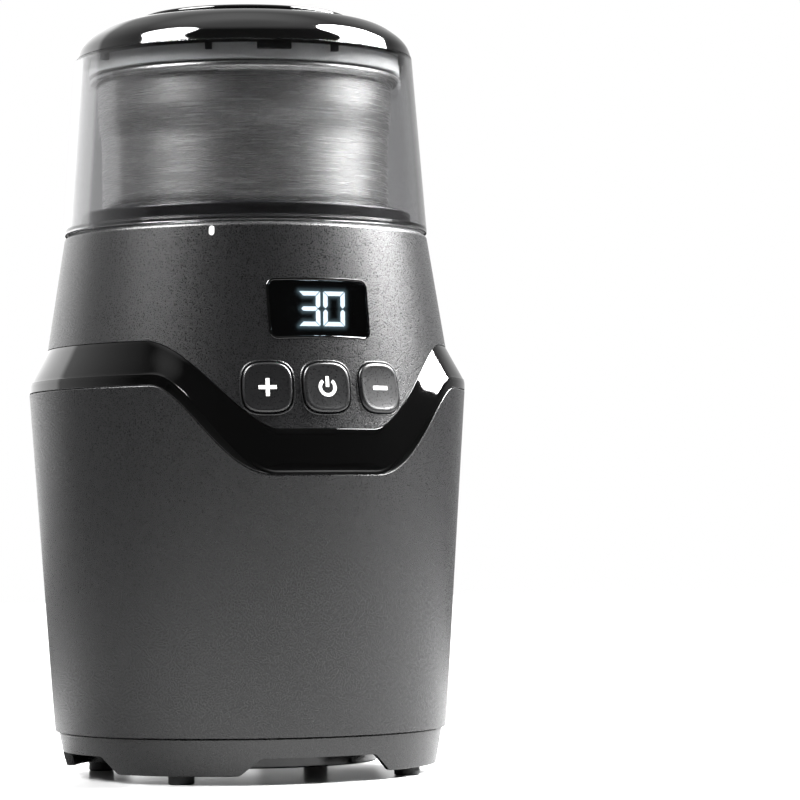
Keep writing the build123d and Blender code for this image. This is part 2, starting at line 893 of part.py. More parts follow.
# ---------------------------------------------------------------- bowl
def cup_line(inset):
    """The cup's side from floor to rim, moved in by an inset, as (radius, height) points."""
    low = cup_low + inset
    lower = bowl_radius - bowl_step - inset
    corner = bowl_corner - inset
    arc = [
        (lower - corner + corner * sin(radians(a)), low + corner - corner * cos(radians(a)))
        for a in (0, 15, 30, 45, 60, 75, 90)
    ]
    wall_top = bowl_rim_height - 1.5 * rim_bead
    wall_low = cup_low + bowl_corner
    step_top = wall_low + (wall_top - wall_low) * bowl_step_share
    rest = [
        (lower, step_top - 1.6 * bowl_step),
        (bowl_radius - inset, step_top),
        (bowl_radius - inset, wall_top),
    ]
    return arc + rest


def make_bowl_cup():
    """The steel cup: a flat floor, a rounded corner, a stepped wall and a rolled rim."""
    outer = cup_line(0)
    inner = cup_line(cup_wall)
    with BuildPart() as cup:
        revolve(outline((neck_radius, cup_low), *outer, *reversed(inner), (neck_radius, cup_floor)))
        bead_middle = rim_radius - rim_bead
        flare_low = bowl_rim_height - 1.5 * rim_bead - 0.4
        revolve(
            outline(
                (bowl_radius - cup_wall, flare_low),
                (bowl_radius, flare_low),
                (bead_middle, bowl_rim_height - 1.3 * rim_bead),
                (bead_middle, bowl_rim_height - 0.2),
                (bowl_radius - cup_wall, bowl_rim_height - 0.9),
            )
        )
        with BuildSketch(Plane.XZ):
            with Locations((bead_middle, bowl_rim_height - rim_bead)):
                Circle(rim_bead)
        revolve(axis=Axis.Z)
    return cup


def make_bowl_collar():
    """The collar under the cup: its visible ring, the web in the socket, and the foot ring with lugs."""
    cup_wall_radius = bowl_radius - bowl_step + screw_clearance
    with BuildPart() as collar:
        revolve(
            outline(
                (neck_radius + screw_clearance, web_low),
                (web_radius, web_low),
                (web_radius, collar_low),
                (collar_radius, collar_low),
                (collar_radius, collar_top),
                (cup_wall_radius, collar_top),
                (cup_wall_radius, cup_low),
                (neck_radius + screw_clearance, cup_low),
            )
        )
        rim = collar.edges().filter_by(GeomType.CIRCLE).group_by(Axis.Z)[-1].sort_by(SortBy.RADIUS)[-1]
        fillet(rim, collar_fillet)
        revolve(
            outline(
                (foot_ring_outer - foot_ring_wall, foot_ring_low),
                (foot_ring_outer, foot_ring_low),
                (foot_ring_outer, web_low),
                (foot_ring_outer - foot_ring_wall, web_low),
            )
        )
        for turn in lug_turns:
            lug = outline(
                (foot_ring_outer - seat_overlap, lug_low),
                (web_radius - running_gap, lug_low),
                (web_radius - running_gap, lug_top),
                (foot_ring_outer - seat_overlap, lug_top),
            )
            revolve(lug.rotate(Axis.Z, turn - lug_angle / 2), axis=Axis.Z, revolution_arc=lug_angle)
        arrow_radius = collar_radius - arrow_depth
        height = (collar_low + collar_top) / 2 + arrow_rise
        with BuildSketch(arrow_plane(arrow_radius, height)):
            neck = arrow_head - arrow_length / 2
            with BuildLine():
                Polyline(
                    (-arrow_length / 2, 0),
                    (neck, arrow_head / 2),
                    (neck, arrow_head / 4),
                    (arrow_length / 2, arrow_head / 4),
                    (arrow_length / 2, -arrow_head / 4),
                    (neck, -arrow_head / 4),
                    (neck, -arrow_head / 2),
                    close=True,
                )
            make_face()
        extrude(amount=6 * arrow_depth, mode=Mode.SUBTRACT)
    return collar


def arrow_plane(radius, height):
    """An upright plane that touches a circle at the arrow's angle, with x to the right."""
    a = radians(arrow_angle)
    sag = radius * (1 - cos(asin(arrow_length / 2 / radius)))
    distance = radius - sag
    return Plane(
        origin=(distance * sin(a), -distance * cos(a), height),
        x_dir=(cos(a), sin(a), 0),
        z_dir=(sin(a), -cos(a), 0),
    )


def make_bowl_hub():
    """The black hub in the bowl's floor, whose neck goes down through the cup and the collar's web."""
    neck_low = web_low + neck_end
    with BuildPart() as hub:
        revolve(
            outline(
                (bush_radius + screw_clearance, neck_low),
                (neck_radius - screw_clearance, neck_low),
                (neck_radius - screw_clearance, cup_floor),
                (hub_radius, cup_floor),
                (hub_radius, hub_top - 1.2),
                (hub_radius - 1.6, hub_top),
                (boss_radius + 1.5, hub_top),
                (boss_radius, boss_top - 0.8),
                (boss_radius - 0.8, boss_top),
                (bush_radius + screw_clearance, boss_top),
            )
        )
    return hub


def make_hub_bearing():
    """The bronze bush that the blade's shaft turns in."""
    with BuildPart() as bush:
        with BuildSketch(Plane.XY.offset(web_low + neck_end)):
            Circle(bush_radius)
            Circle(blade_shaft_radius + shaft_clearance, mode=Mode.SUBTRACT)
        extrude(amount=boss_top - hub_seal_low - web_low - neck_end)
    return bush


def make_hub_seal():
    """The lip seal on top of the bush."""
    with BuildPart() as seal:
        with BuildSketch(Plane.XY.offset(boss_top - hub_seal_low)):
            Circle(bush_radius)
            Circle(blade_shaft_radius + shaft_clearance, mode=Mode.SUBTRACT)
        extrude(amount=hub_seal_height)
    return seal


def make_hub_nut():
    """The flat nut that clamps the hub's neck under the collar's web."""
    with BuildPart() as nut:
        with BuildSketch(Plane.XY.offset(web_low - nut_height)):
            RegularPolygon(neck_radius + nut_reach, 6)
            Circle(bush_radius + screw_clearance, mode=Mode.SUBTRACT)
        extrude(amount=nut_height)
        with BuildSketch(Plane.XY.offset(web_low)):
            Circle(neck_radius - screw_clearance)
            Circle(bush_radius + screw_clearance, mode=Mode.SUBTRACT)
        extrude(amount=neck_end)
    return nut


# ---------------------------------------------------------------- blade
def make_grinding_blade():
    """The two-arm blade: a hexagonal plate, two tapered arms that dip, and bent-up tips."""
    half_plate = blade_plate_length / 2
    half_span = blade_span / 2
    tip_foot = half_span - tip_length
    middle = blade_low + blade_thickness / 2
    side_view = [
        (0, middle),
        (half_plate, middle),
        (tip_foot, middle - blade_drop),
        (half_span, middle - blade_drop + tip_rise),
    ]
    plan = [
        (0, blade_plate_width / 2),
        (half_plate, blade_root_width / 2),
        (tip_foot, blade_tip_width / 2),
        (half_span, blade_tip_width / 2),
    ]
    left_side = [(-x, z) for x, z in reversed(side_view[1:])]
    left_plan = [(-x, y) for x, y in reversed(plan[1:])]
    upper_plan = left_plan + plan
    lower_plan = [(x, -y) for x, y in reversed(upper_plan)]
    half_thick = blade_thickness / 2
    path = left_side + side_view
    upper = [(x, z + half_thick) for x, z in path]
    lower = [(x, z - half_thick) for x, z in reversed(path)]
    with BuildPart() as blade:
        extrude(outline(*upper, *lower), amount=blade_plate_width, both=True)
        with BuildSketch(Plane.XY.offset(blade_low - 2 * blade_drop)) as shape:
            with BuildLine():
                Polyline(*upper_plan, *lower_plan, close=True)
            make_face()
            Circle(blade_shaft_radius * blade_neck + screw_clearance, mode=Mode.SUBTRACT)
        extrude(amount=4 * (blade_drop + tip_rise), mode=Mode.INTERSECT)
    return blade


def make_blade_shaft():
    """The shaft that carries the blade through the hub, stepped down where the blade sits."""
    with BuildPart() as shaft:
        with BuildSketch(Plane.XY.offset(driven_disc_low)):
            Circle(blade_shaft_radius)
        extrude(amount=blade_low - driven_disc_low)
        with BuildSketch(Plane.XY.offset(blade_low)):
            Circle(blade_shaft_radius * blade_neck)
        extrude(amount=blade_thickness)
    return shaft


def make_blade_rivet():
    """The domed head that holds the blade on its shaft."""
    with BuildPart() as rivet:
        with BuildSketch(Plane.XY.offset(blade_top)):
            Circle(rivet_radius)
        extrude(amount=rivet_height)
        fillet(rivet.edges().group_by(Axis.Z)[-1], rivet_fillet)
    return rivet


def make_blade_washer():
    """The washer between the hub's boss and the blade."""
    with BuildPart() as washer:
        with BuildSketch(Plane.XY.offset(boss_top + washer_lift)):
            Circle(washer_radius)
            Circle(blade_shaft_radius + screw_clearance, mode=Mode.SUBTRACT)
        extrude(amount=blade_low - boss_top - washer_lift)
    return washer


# ---------------------------------------------------------------- drive dogs, seat ring and interlock
def dog(disc_low, disc_height, lug_low, turn, bore):
    """A drive dog: a disc with upright lugs that interleave with those of its mate."""
    with BuildPart() as body:
        with BuildSketch(Plane.XY.offset(disc_low)):
            Circle(dog_radius)
        extrude(amount=disc_height)
        for index in range(dog_lugs):
            start = turn + index * 360 / dog_lugs - dog_lug_angle / 2
            lug = outline(
                (dog_radius * dog_lug_inner, lug_low),
                (dog_radius, lug_low),
                (dog_radius, lug_low + dog_lug_height),
                (dog_radius * dog_lug_inner, lug_low + dog_lug_height),
            )
            revolve(lug.rotate(Axis.Z, start), axis=Axis.Z, revolution_arc=dog_lug_angle)
        with BuildSketch(Plane.XY.offset(disc_low)):
            Circle(bore)
        extrude(amount=disc_height, mode=Mode.SUBTRACT)
    return body


def make_drive_dog():
    """The motor's dog, on top of its shaft."""
    return dog(dog_low, dog_disc, dog_lug_low, 0, shaft_radius + screw_clearance)


def make_driven_dog():
    """The bowl's dog, under its hub, half a pitch round from the motor's."""
    height = driven_disc_top - driven_disc_low
    return dog(driven_disc_low, height, driven_low, 180 / dog_lugs, blade_shaft_radius + screw_clearance)


def make_bowl_seat_ring():
    """The flat ring on the socket's floor that the bowl's foot stands on and turns with."""
    outer = foot_ring_outer + 1.5
    with BuildPart() as ring:
        with BuildSketch(Plane.XY.offset(seat_ring_low)):
            Circle(outer)
            Circle(outer - seat_ring_width, mode=Mode.SUBTRACT)
        extrude(amount=seat_ring_height)
    return ring


def make_bowl_socket():
    """The well under the deck: floor, wall with bayonet ledges, and the flange that screws to the deck."""
    outer = socket_radius + socket_wall
    with BuildPart() as socket:
        revolve(
            outline(
                (shaft_radius + seal_seat, socket_low),
                (outer, socket_low),
                (outer, deck_low - flange_thickness),
                (flange_radius, deck_low - flange_thickness),
                (flange_radius, deck_low),
                (socket_radius, deck_low),
                (socket_radius, socket_floor_top),
                (shaft_radius + seal_seat, socket_floor_top),
            )
        )
        gap_angle = lug_angle + lug_play
        ledge_angle = 360 / len(lug_turns) - gap_angle
        for turn in lug_turns:
            ledge = outline(
                (ledge_inner, ledge_low),
                (socket_radius + seat_overlap, ledge_low),
                (socket_radius + seat_overlap, ledge_top),
                (ledge_inner, ledge_top),
            )
            start = turn + gap_angle / 2
            revolve(ledge.rotate(Axis.Z, start), axis=Axis.Z, revolution_arc=ledge_angle)
        with BuildSketch(Plane.XY.offset(deck_low - flange_thickness)):
            with ring_spots(socket_screw_circle(), socket_screw_angles()):
                Circle(screw_radius + screw_clearance)
        extrude(amount=flange_thickness, mode=Mode.SUBTRACT)
    return socket


def make_socket_screws():
    """Three screws that hold the socket's flange to the deck."""
    head_low = deck_low - flange_thickness - screw_head_height
    head_radius = (flange_radius - socket_radius - socket_wall) / 2 - screw_clearance
    with BuildPart() as screws:
        with BuildSketch(Plane.XY.offset(head_low)):
            with ring_spots(socket_screw_circle(), socket_screw_angles()):
                Circle(head_radius)
        extrude(amount=screw_head_height)
        with BuildSketch(Plane.XY.offset(head_low)):
            with ring_spots(socket_screw_circle(), socket_screw_angles()):
                Circle(screw_radius)
        extrude(amount=screw_head_height + flange_thickness + deck_thickness - 1.25 * blind_end)
    return screws


def make_shaft_seal():
    """The lip seal round the motor shaft in the socket's floor."""
    with BuildPart() as seal:
        with BuildSketch(Plane.XY.offset(socket_low)):
            Circle(shaft_radius + seal_seat)
            Circle(shaft_radius + shaft_clearance, mode=Mode.SUBTRACT)
        extrude(amount=socket_floor)
        with BuildSketch(Plane.XY.offset(socket_floor_top)):
            Circle(shaft_radius + seal_rim)
            Circle(shaft_radius + shaft_clearance, mode=Mode.SUBTRACT)
        extrude(amount=seal_lip)
    return seal


def make_interlock_pin():
    """The pin under the lid's lip that works the interlock switch."""
    top = lid_low - running_gap
    low = interlock_switch_top() + running_gap
    with BuildPart() as pin:
        with BuildSketch(Plane.XY.offset(low)):
            with ring_spots(pin_circle, [180]):
                Circle(pin_radius)
        extrude(amount=top - low)
    return pin


def interlock_switch_top():
    """Height of the interlock switch's top face."""
    return socket_low + switch_lift


def make_interlock_switch():
    """The microswitch clipped to the back of the socket's wall, under the pin."""
    near = socket_radius + socket_wall + screw_clearance
    with BuildPart() as switch:
        with BuildSketch(Plane.XY.offset(interlock_switch_top() - switch_depth)):
            with Locations((0, near + switch_width / 2)):
                Rectangle(switch_length, switch_width)
        extrude(amount=switch_depth)
    return switch


# ---------------------------------------------------------------- motor
def make_rubber_mounts():
    """Four rubber mounts between the motor's upper bracket and the socket's floor."""
    with BuildPart() as mounts:
        with BuildSketch(Plane.XY.offset(mount_low)):
            with GridLocations(mount_spacing, mount_spacing, 2, 2):
                Circle(mount_radius)
        extrude(amount=mount_height)
        with BuildSketch(Plane.XY.offset(mount_low + mount_height / 4)):
            with GridLocations(mount_spacing, mount_spacing, 2, 2):
                Circle(mount_radius)
                Circle(0.8 * mount_radius, mode=Mode.SUBTRACT)
        extrude(amount=mount_height / 2, mode=Mode.SUBTRACT)
    return mounts


def motor_screw_spots():
    """The two through-screws of the motor, in the middle of the brackets' walls."""
    across = (bracket_radius - bracket_wall / 2) * sin(radians(45))
    return Locations((across, across), (-across, -across))


def bracket(plate_radius, plate_low, wall_low, wall_high, bearing_low):
    """A motor bracket: a plate with a bearing seat, and a wall with four windows."""
    with BuildPart() as body:
        with BuildSketch(Plane.XY.offset(plate_low)):
            Circle(plate_radius)
            Circle(bearing_radius, mode=Mode.SUBTRACT)
            with PolarLocations(bracket_radius * 0.58, 6, start_angle=30):
                Circle(vent_hole_radius, mode=Mode.SUBTRACT)
        extrude(amount=bracket_plate)
        with BuildSketch(Plane.XY.offset(wall_low)):
            Circle(bracket_radius)
            Circle(bracket_radius - bracket_wall, mode=Mode.SUBTRACT)
            Rectangle(3 * bracket_radius, bracket_window, mode=Mode.SUBTRACT)
            Rectangle(bracket_window, 3 * bracket_radius, mode=Mode.SUBTRACT)
        extrude(amount=wall_high - wall_low)
        with BuildSketch(Plane.XY.offset(bearing_low)):
            Circle(bearing_radius + bearing_seat_wall)
            Circle(bearing_radius, mode=Mode.SUBTRACT)
        extrude(amount=bearing_height)
        with BuildSketch(Plane.XY.offset(min(plate_low, wall_low))):
            with motor_screw_spots():
                Circle(motor_screw_radius + screw_clearance)
        extrude(amount=bracket_height + bracket_plate, mode=Mode.SUBTRACT)
    return body


def upper_bearing_low():
    """Height of the upper bearing's lower face, flush with the top of its plate."""
    return upper_plate_low + bracket_plate - bearing_height


def lower_bearing_low():
    """Height of the lower bearing's lower face, which hangs under its plate."""
    return lower_plate_low + bracket_plate - bearing_height


def make_upper_bracket():
    """The upper motor bracket, on top of the field core."""
    plate_radius = mount_spacing / 2 * sqrt(2) + mount_radius + 1.0
    return bracket(plate_radius, upper_plate_low, core_top, upper_plate_low, upper_bearing_low())


def make_lower_bracket():
    """The lower motor bracket, under the field core, with windows for the brush holders."""
    plate_top = lower_plate_low + bracket_plate
    return bracket(bracket_radius + 1.0, lower_plate_low, plate_top, core_low, lower_bearing_low())


def sector(inner, outer, low, high, middle, half_angle):
    """A sector of an annulus, centred on an angle from +X."""
    return outline((inner, low), (outer, low), (outer, high), (inner, high)).rotate(
        Axis.Z, middle - half_angle
    )


def make_field_core():
    """The laminated stator: a yoke with two poles."""
    with BuildPart() as core:
        with BuildSketch(Plane.XY.offset(core_low)):
            Circle(bracket_radius)
            Circle(bracket_radius - yoke_wall, mode=Mode.SUBTRACT)
            with motor_screw_spots():
                Circle(motor_screw_radius + screw_clearance, mode=Mode.SUBTRACT)
        extrude(amount=core_height)
        for middle in pole_angles:
            root = bracket_radius - yoke_wall + seat_overlap
            pole = sector(pole_bore, root, core_low, core_top, middle, pole_half_angle)
            revolve(pole, axis=Axis.Z, revolution_arc=2 * pole_half_angle)
        with BuildSketch(Plane.XY.offset(core_low)):
            with motor_screw_spots():
                Circle(motor_screw_radius + screw_clearance)
        extrude(amount=core_height, mode=Mode.SUBTRACT)
    return core


def make_field_coils():
    """Two saddle coils, one round each pole."""
    inner = pole_bore + 2.0
    outer = bracket_radius - yoke_wall - running_gap
    clear = degrees(running_gap / inner)
    reach = 90 - 2 * clear
    low = core_low - coil_overhang
    high = core_top + coil_overhang
    window = pole_half_angle + clear
    with BuildPart() as coils:
        for middle in pole_angles:
            coil = sector(inner, outer, low, high, middle, reach)
            revolve(coil, axis=Axis.Z, revolution_arc=2 * reach)
        for middle in pole_angles:
            space_low = core_low - running_gap
            space_high = core_top + running_gap
            space = sector(inner - 1, outer + 1, space_low, space_high, middle, window)
            revolve(space, axis=Axis.Z, revolution_arc=2 * window, mode=Mode.SUBTRACT)
    return coils


def make_motor_bearings():
    """The two bearings of the motor shaft, in their brackets."""
    with BuildPart() as bearings:
        for low in (upper_bearing_low(), lower_bearing_low()):
            with BuildSketch(Plane.XY.offset(low)):
                Circle(bearing_radius)
                Circle(shaft_radius + shaft_clearance, mode=Mode.SUBTRACT)
            extrude(amount=bearing_height)
    return bearings


def make_motor_screws():
    """The two long screws that clamp the brackets on the field core."""
    with BuildPart() as screws:
        with BuildSketch(Plane.XY.offset(lower_plate_low)):
            with motor_screw_spots():
                Circle(motor_screw_radius)
        extrude(amount=core_top - lower_plate_low + bracket_height + bracket_plate - 1.0)
        with BuildSketch(Plane.XY.offset(lower_plate_low - motor_screw_head)):
            with motor_screw_spots():
                Circle(2 * motor_screw_radius)
        extrude(amount=motor_screw_head)
    return screws


def commutator_low():
    """Height of the commutator's lower face."""
    return lower_plate_low + bracket_plate + commutator_lift


def make_brush_holders():
    """Two brass brush boxes in the windows of the lower bracket."""
    inner = commutator_radius + 2 * brush_box_wall
    outer = bracket_radius - brush_box_wall / 2
    middle = (inner + outer) / 2
    low = commutator_low() + (commutator_height - brush_height) / 2 - brush_box_wall
    plate_top = lower_plate_low + bracket_plate
    with BuildPart() as holders:
        for side in (-1, 1):
            with BuildSketch(Plane.XY.offset(low)):
                with Locations((side * middle, 0)):
                    Rectangle(outer - inner, brush_width + 2 * brush_box_wall)
            extrude(amount=brush_height + 2 * brush_box_wall)
            with BuildSketch(Plane.XY.offset(low + brush_box_wall - screw_clearance)):
                with Locations((side * (middle - 1.5 * brush_box_wall), 0)):
                    Rectangle(outer - inner, brush_width + 2 * screw_clearance)
            extrude(amount=brush_height + 2 * screw_clearance, mode=Mode.SUBTRACT)
            with BuildSketch(Plane.XY.offset(plate_top)):
                with Locations((side * middle, 0)):
                    Rectangle(outer - inner - 2 * brush_box_wall, brush_width)
            extrude(amount=low - plate_top)
    return holders


def make_carbon_brushes():
    """The two carbon brushes, which slide in their boxes against the commutator."""
    low = commutator_low() + (commutator_height - brush_height) / 2
    with BuildPart() as brushes:
        for side in (-1, 1):
            with BuildSketch(Plane.XY.offset(low)):
                with Locations((side * (commutator_radius + running_gap + brush_length / 2), 0)):
                    Rectangle(brush_length, brush_width)
            extrude(amount=brush_height)
    return brushes


def make_motor_shaft():
    """The motor's steel shaft, from the fan up to the drive dog."""
    with BuildPart() as shaft:
        with BuildSketch(Plane.XY.offset(shaft_low)):
            Circle(shaft_radius)
        extrude(amount=dog_low + dog_disc - shaft_low)
    return shaft


def make_armature_core():
    """The slotted armature stack on the shaft."""
    with BuildPart() as core:
        with BuildSketch(Plane.XY.offset(core_low + 0.5)):
            Circle(armature_radius)
            Circle(shaft_radius, mode=Mode.SUBTRACT)
            with PolarLocations(armature_radius - 1.5 * slot_radius, armature_slots):
                Circle(slot_radius, mode=Mode.SUBTRACT)
            with PolarLocations(armature_radius, armature_slots):
                Rectangle(3 * slot_radius, slot_radius * 0.7, mode=Mode.SUBTRACT)
        extrude(amount=core_height - 1.0)
    return core


def make_armature_windings():
    """The end turns of the armature's windings, above and below its stack."""
    outer = armature_radius - 2.0
    inner = shaft_radius + 2.5
    faces = ((core_low + 0.5, -1), (core_top - 0.5, 1))  # the stack's end faces, and which way is out
    with BuildPart() as windings:
        for face, out in faces:
            tip = face + out * winding_overhang
            revolve(
                outline(
                    (shaft_radius, face),
                    (outer - winding_chamfer, face),
                    (outer, face + out * winding_chamfer),
                    (outer, tip - out * winding_chamfer),
                    (outer - winding_chamfer, tip),
                    (inner, tip),
                    (shaft_radius, tip - out * winding_chamfer),
                )
            )
    return windings


def make_commutator():
    """The copper commutator, grooved between its bars."""
    with BuildPart() as commutator:
        with BuildSketch(Plane.XY.offset(commutator_low())):
            Circle(commutator_radius)
            Circle(shaft_radius, mode=Mode.SUBTRACT)
            with PolarLocations(commutator_radius, commutator_bars):
                Rectangle(1.2, 0.5, mode=Mode.SUBTRACT)
        extrude(amount=commutator_height)
    return commutator


def make_cooling_fan():
    """The fan at the foot of the motor shaft: a hub, a back plate and curved blades."""
    with BuildPart() as fan:
        with BuildSketch(Plane.XY.offset(fan_low)):
            Circle(fan_radius)
        extrude(amount=fan_plate)
        with BuildSketch(Plane.XY.offset(fan_low)):
            Circle(bearing_radius)
        extrude(amount=fan_height - fan_tip_gap)
        with BuildSketch(Plane.XY.offset(fan_low)):
            with PolarLocations(0, fan_blades):
                with Locations((fan_radius * 0.6, 0)):
                    Rectangle(fan_radius * 0.72, fan_plate, rotation=fan_pitch)
            Circle(fan_radius, mode=Mode.INTERSECT)
        extrude(amount=fan_height - fan_tip_gap)
        with BuildSketch(Plane.XY.offset(fan_low)):
            Circle(shaft_radius)
        extrude(amount=fan_height, mode=Mode.SUBTRACT)
    return fan


# ---------------------------------------------------------------- base
def skirt_radius(height):
    """Outer radius of the base skirt at a height."""
    share = (height - foot_height) / skirt_height
    return skirt_bottom_radius + (skirt_top_radius - skirt_bottom_radius) * share


def make_base_skirt():
    """The base moulding: floor, sloping skirt with four notches, foot pads and board posts."""
    with BuildPart() as base:
        revolve(
            outline(
                (0, base_floor_low),
                (skirt_radius(base_floor_low) - wall, base_floor_low),
                (skirt_bottom_radius - wall, foot_height),
                (skirt_bottom_radius, foot_height),
                (skirt_top_radius, skirt_top),
                (0, skirt_top),
            )
        )
        for plane in (Plane.XZ, Plane.YZ):
            with BuildSketch(plane):
                with BuildLine():
                    Polyline(
                        (-notch_bottom_width / 2, foot_height - 1),
                        (-notch_bottom_width / 2, foot_height),
                        (-notch_top_width / 2, foot_height + notch_height),
                        (notch_top_width / 2, foot_height + notch_height),
                        (notch_bottom_width / 2, foot_height),
                        (notch_bottom_width / 2, foot_height - 1),
                        close=True,
                    )
                make_face()
            extrude(amount=2 * skirt_top_radius, both=True, mode=Mode.SUBTRACT)
        with BuildSketch(Plane.XY.offset(foot_height)):
            with ring_spots(foot_circle, case_post_angles):
                Circle(foot_radius + foot_pad)
            Circle(skirt_bottom_radius - foot_pad / 2, mode=Mode.INTERSECT)
        extrude(amount=base_floor_low - foot_height + foot_pad / 2)
        with BuildSketch(Plane.XY.offset(foot_height)):
            with ring_spots(foot_circle, case_post_angles):
                Circle(foot_plug_radius + screw_clearance)
        extrude(amount=foot_plug_height + screw_clearance, mode=Mode.SUBTRACT)
        with BuildSketch(Plane.XY.offset(base_floor_low)):
            with ring_spots(base_screw_circle, base_screw_angles):
                Circle(screw_radius + screw_clearance)
            with ring_spots(grommet_circle, [180]):
                Circle(grommet_radius + screw_clearance)
            with PolarLocations(vent_circle, vent_count):
                SlotOverall(vent_length, vent_width)
        extrude(amount=base_floor, mode=Mode.SUBTRACT)
        with BuildSketch(Plane.XY.offset(skirt_top)):
            with power_board_spots():
                Circle(screw_radius + 2)
        extrude(amount=power_board_height)
        with BuildSketch(Plane.XY.offset(skirt_top)):
            with power_board_spots():
                Circle(screw_radius)
        extrude(amount=power_board_height, mode=Mode.SUBTRACT)
    return base


def power_board_spots():
    """The four posts under the power board."""
    return GridLocations(power_board_radius * 1.2, power_board_radius * 1.2, 2, 2)


def make_cord_spool():
    """The drum under the base that the mains lead winds round, with vents in its face."""
    low = base_floor_low - spool_height
    with BuildPart() as spool:
        with BuildSketch(Plane.XY.offset(low)):
            Circle(spool_radius)
        extrude(amount=spool_height)
        with BuildSketch(Plane.XY.offset(low + spool_wall)):
            Circle(spool_radius - spool_wall)
        extrude(amount=spool_height, mode=Mode.SUBTRACT)
        with BuildSketch(Plane.XY.offset(low)):
            with PolarLocations(vent_circle, vent_count):
                SlotOverall(vent_length, vent_width)
        extrude(amount=spool_wall, mode=Mode.SUBTRACT)
    return spool


def make_rubber_feet():
    """Four rubber feet with plugs that push into the skirt's pads."""
    with BuildPart() as feet:
        with BuildSketch(Plane.XY):
            with ring_spots(foot_circle, case_post_angles):
                Circle(foot_radius)
        extrude(amount=foot_height)
        fillet(feet.edges().group_by(Axis.Z)[0], foot_fillet)
        with BuildSketch(Plane.XY.offset(foot_height)):
            with ring_spots(foot_circle, case_post_angles):
                Circle(foot_plug_radius)
        extrude(amount=foot_plug_height)
    return feet


def make_cord_grommet():
    """The rubber grommet in the base floor that the mains lead comes out of."""
    with BuildPart() as grommet:
        with BuildSketch(Plane.XY.offset(base_floor_low)):
            with ring_spots(grommet_circle, [180]):
                Circle(grommet_radius)
        extrude(amount=base_floor)
        for low in (base_floor_low - grommet_rim, skirt_top):
            with BuildSketch(Plane.XY.offset(low)):
                with ring_spots(grommet_circle, [180]):
                    Circle(grommet_flange)
            extrude(amount=grommet_rim)
        with BuildSketch(Plane.XY.offset(base_floor_low - grommet_rim)):
            with ring_spots(grommet_circle, [180]):
                Circle(grommet_bore)
        extrude(amount=base_floor + 2 * grommet_rim, mode=Mode.SUBTRACT)
    return grommet


def make_power_board():
    """The round power board on its posts above the base floor."""
    with BuildPart() as board:
        with BuildSketch(Plane.XY.offset(skirt_top + power_board_height)):
            Circle(power_board_radius)
            with power_board_spots():
                Circle(screw_radius, mode=Mode.SUBTRACT)
        extrude(amount=board_thickness)
    return board


def make_power_parts():
    """The board's larger parts: filter capacitor, relay, heat sink and terminal block."""
    with BuildPart() as parts:
        top = skirt_top + power_board_height + board_thickness
        for x, y, width, depth, height in power_parts.values():
            with BuildSketch(Plane.XY.offset(top)):
                with Locations((x, y)):
                    RectangleRounded(width, depth, 0.8)
            extrude(amount=height)
    return parts


def make_base_screws():
    """Four screws that hold the base to the lower shell."""
    with BuildPart() as screws:
        with BuildSketch(Plane.XY.offset(base_floor_low)):
            with ring_spots(base_screw_circle, base_screw_angles):
                Circle(screw_radius)
        extrude(amount=base_floor + seam_gap + 3 * wall)
        with BuildSketch(Plane.XY.offset(base_floor_low - screw_head_height)):
            with ring_spots(base_screw_circle, base_screw_angles):
                Circle(screw_head_radius - 0.5)
        extrude(amount=screw_head_height)
    return screws


def make_case_screws():
    """Four long screws that pull the upper shell's posts down on the lower shell's."""
    head_low = case_post_top - thread_depth - screw_head_height
    with BuildPart() as screws:
        with BuildSketch(Plane.XY.offset(head_low)):
            with ring_spots(case_post_circle, case_post_angles):
                Circle(screw_head_radius)
        extrude(amount=screw_head_height)
        with BuildSketch(Plane.XY.offset(head_low)):
            with ring_spots(case_post_circle, case_post_angles):
                Circle(screw_radius)
        extrude(amount=screw_head_height + 3 * thread_depth)
    return screws


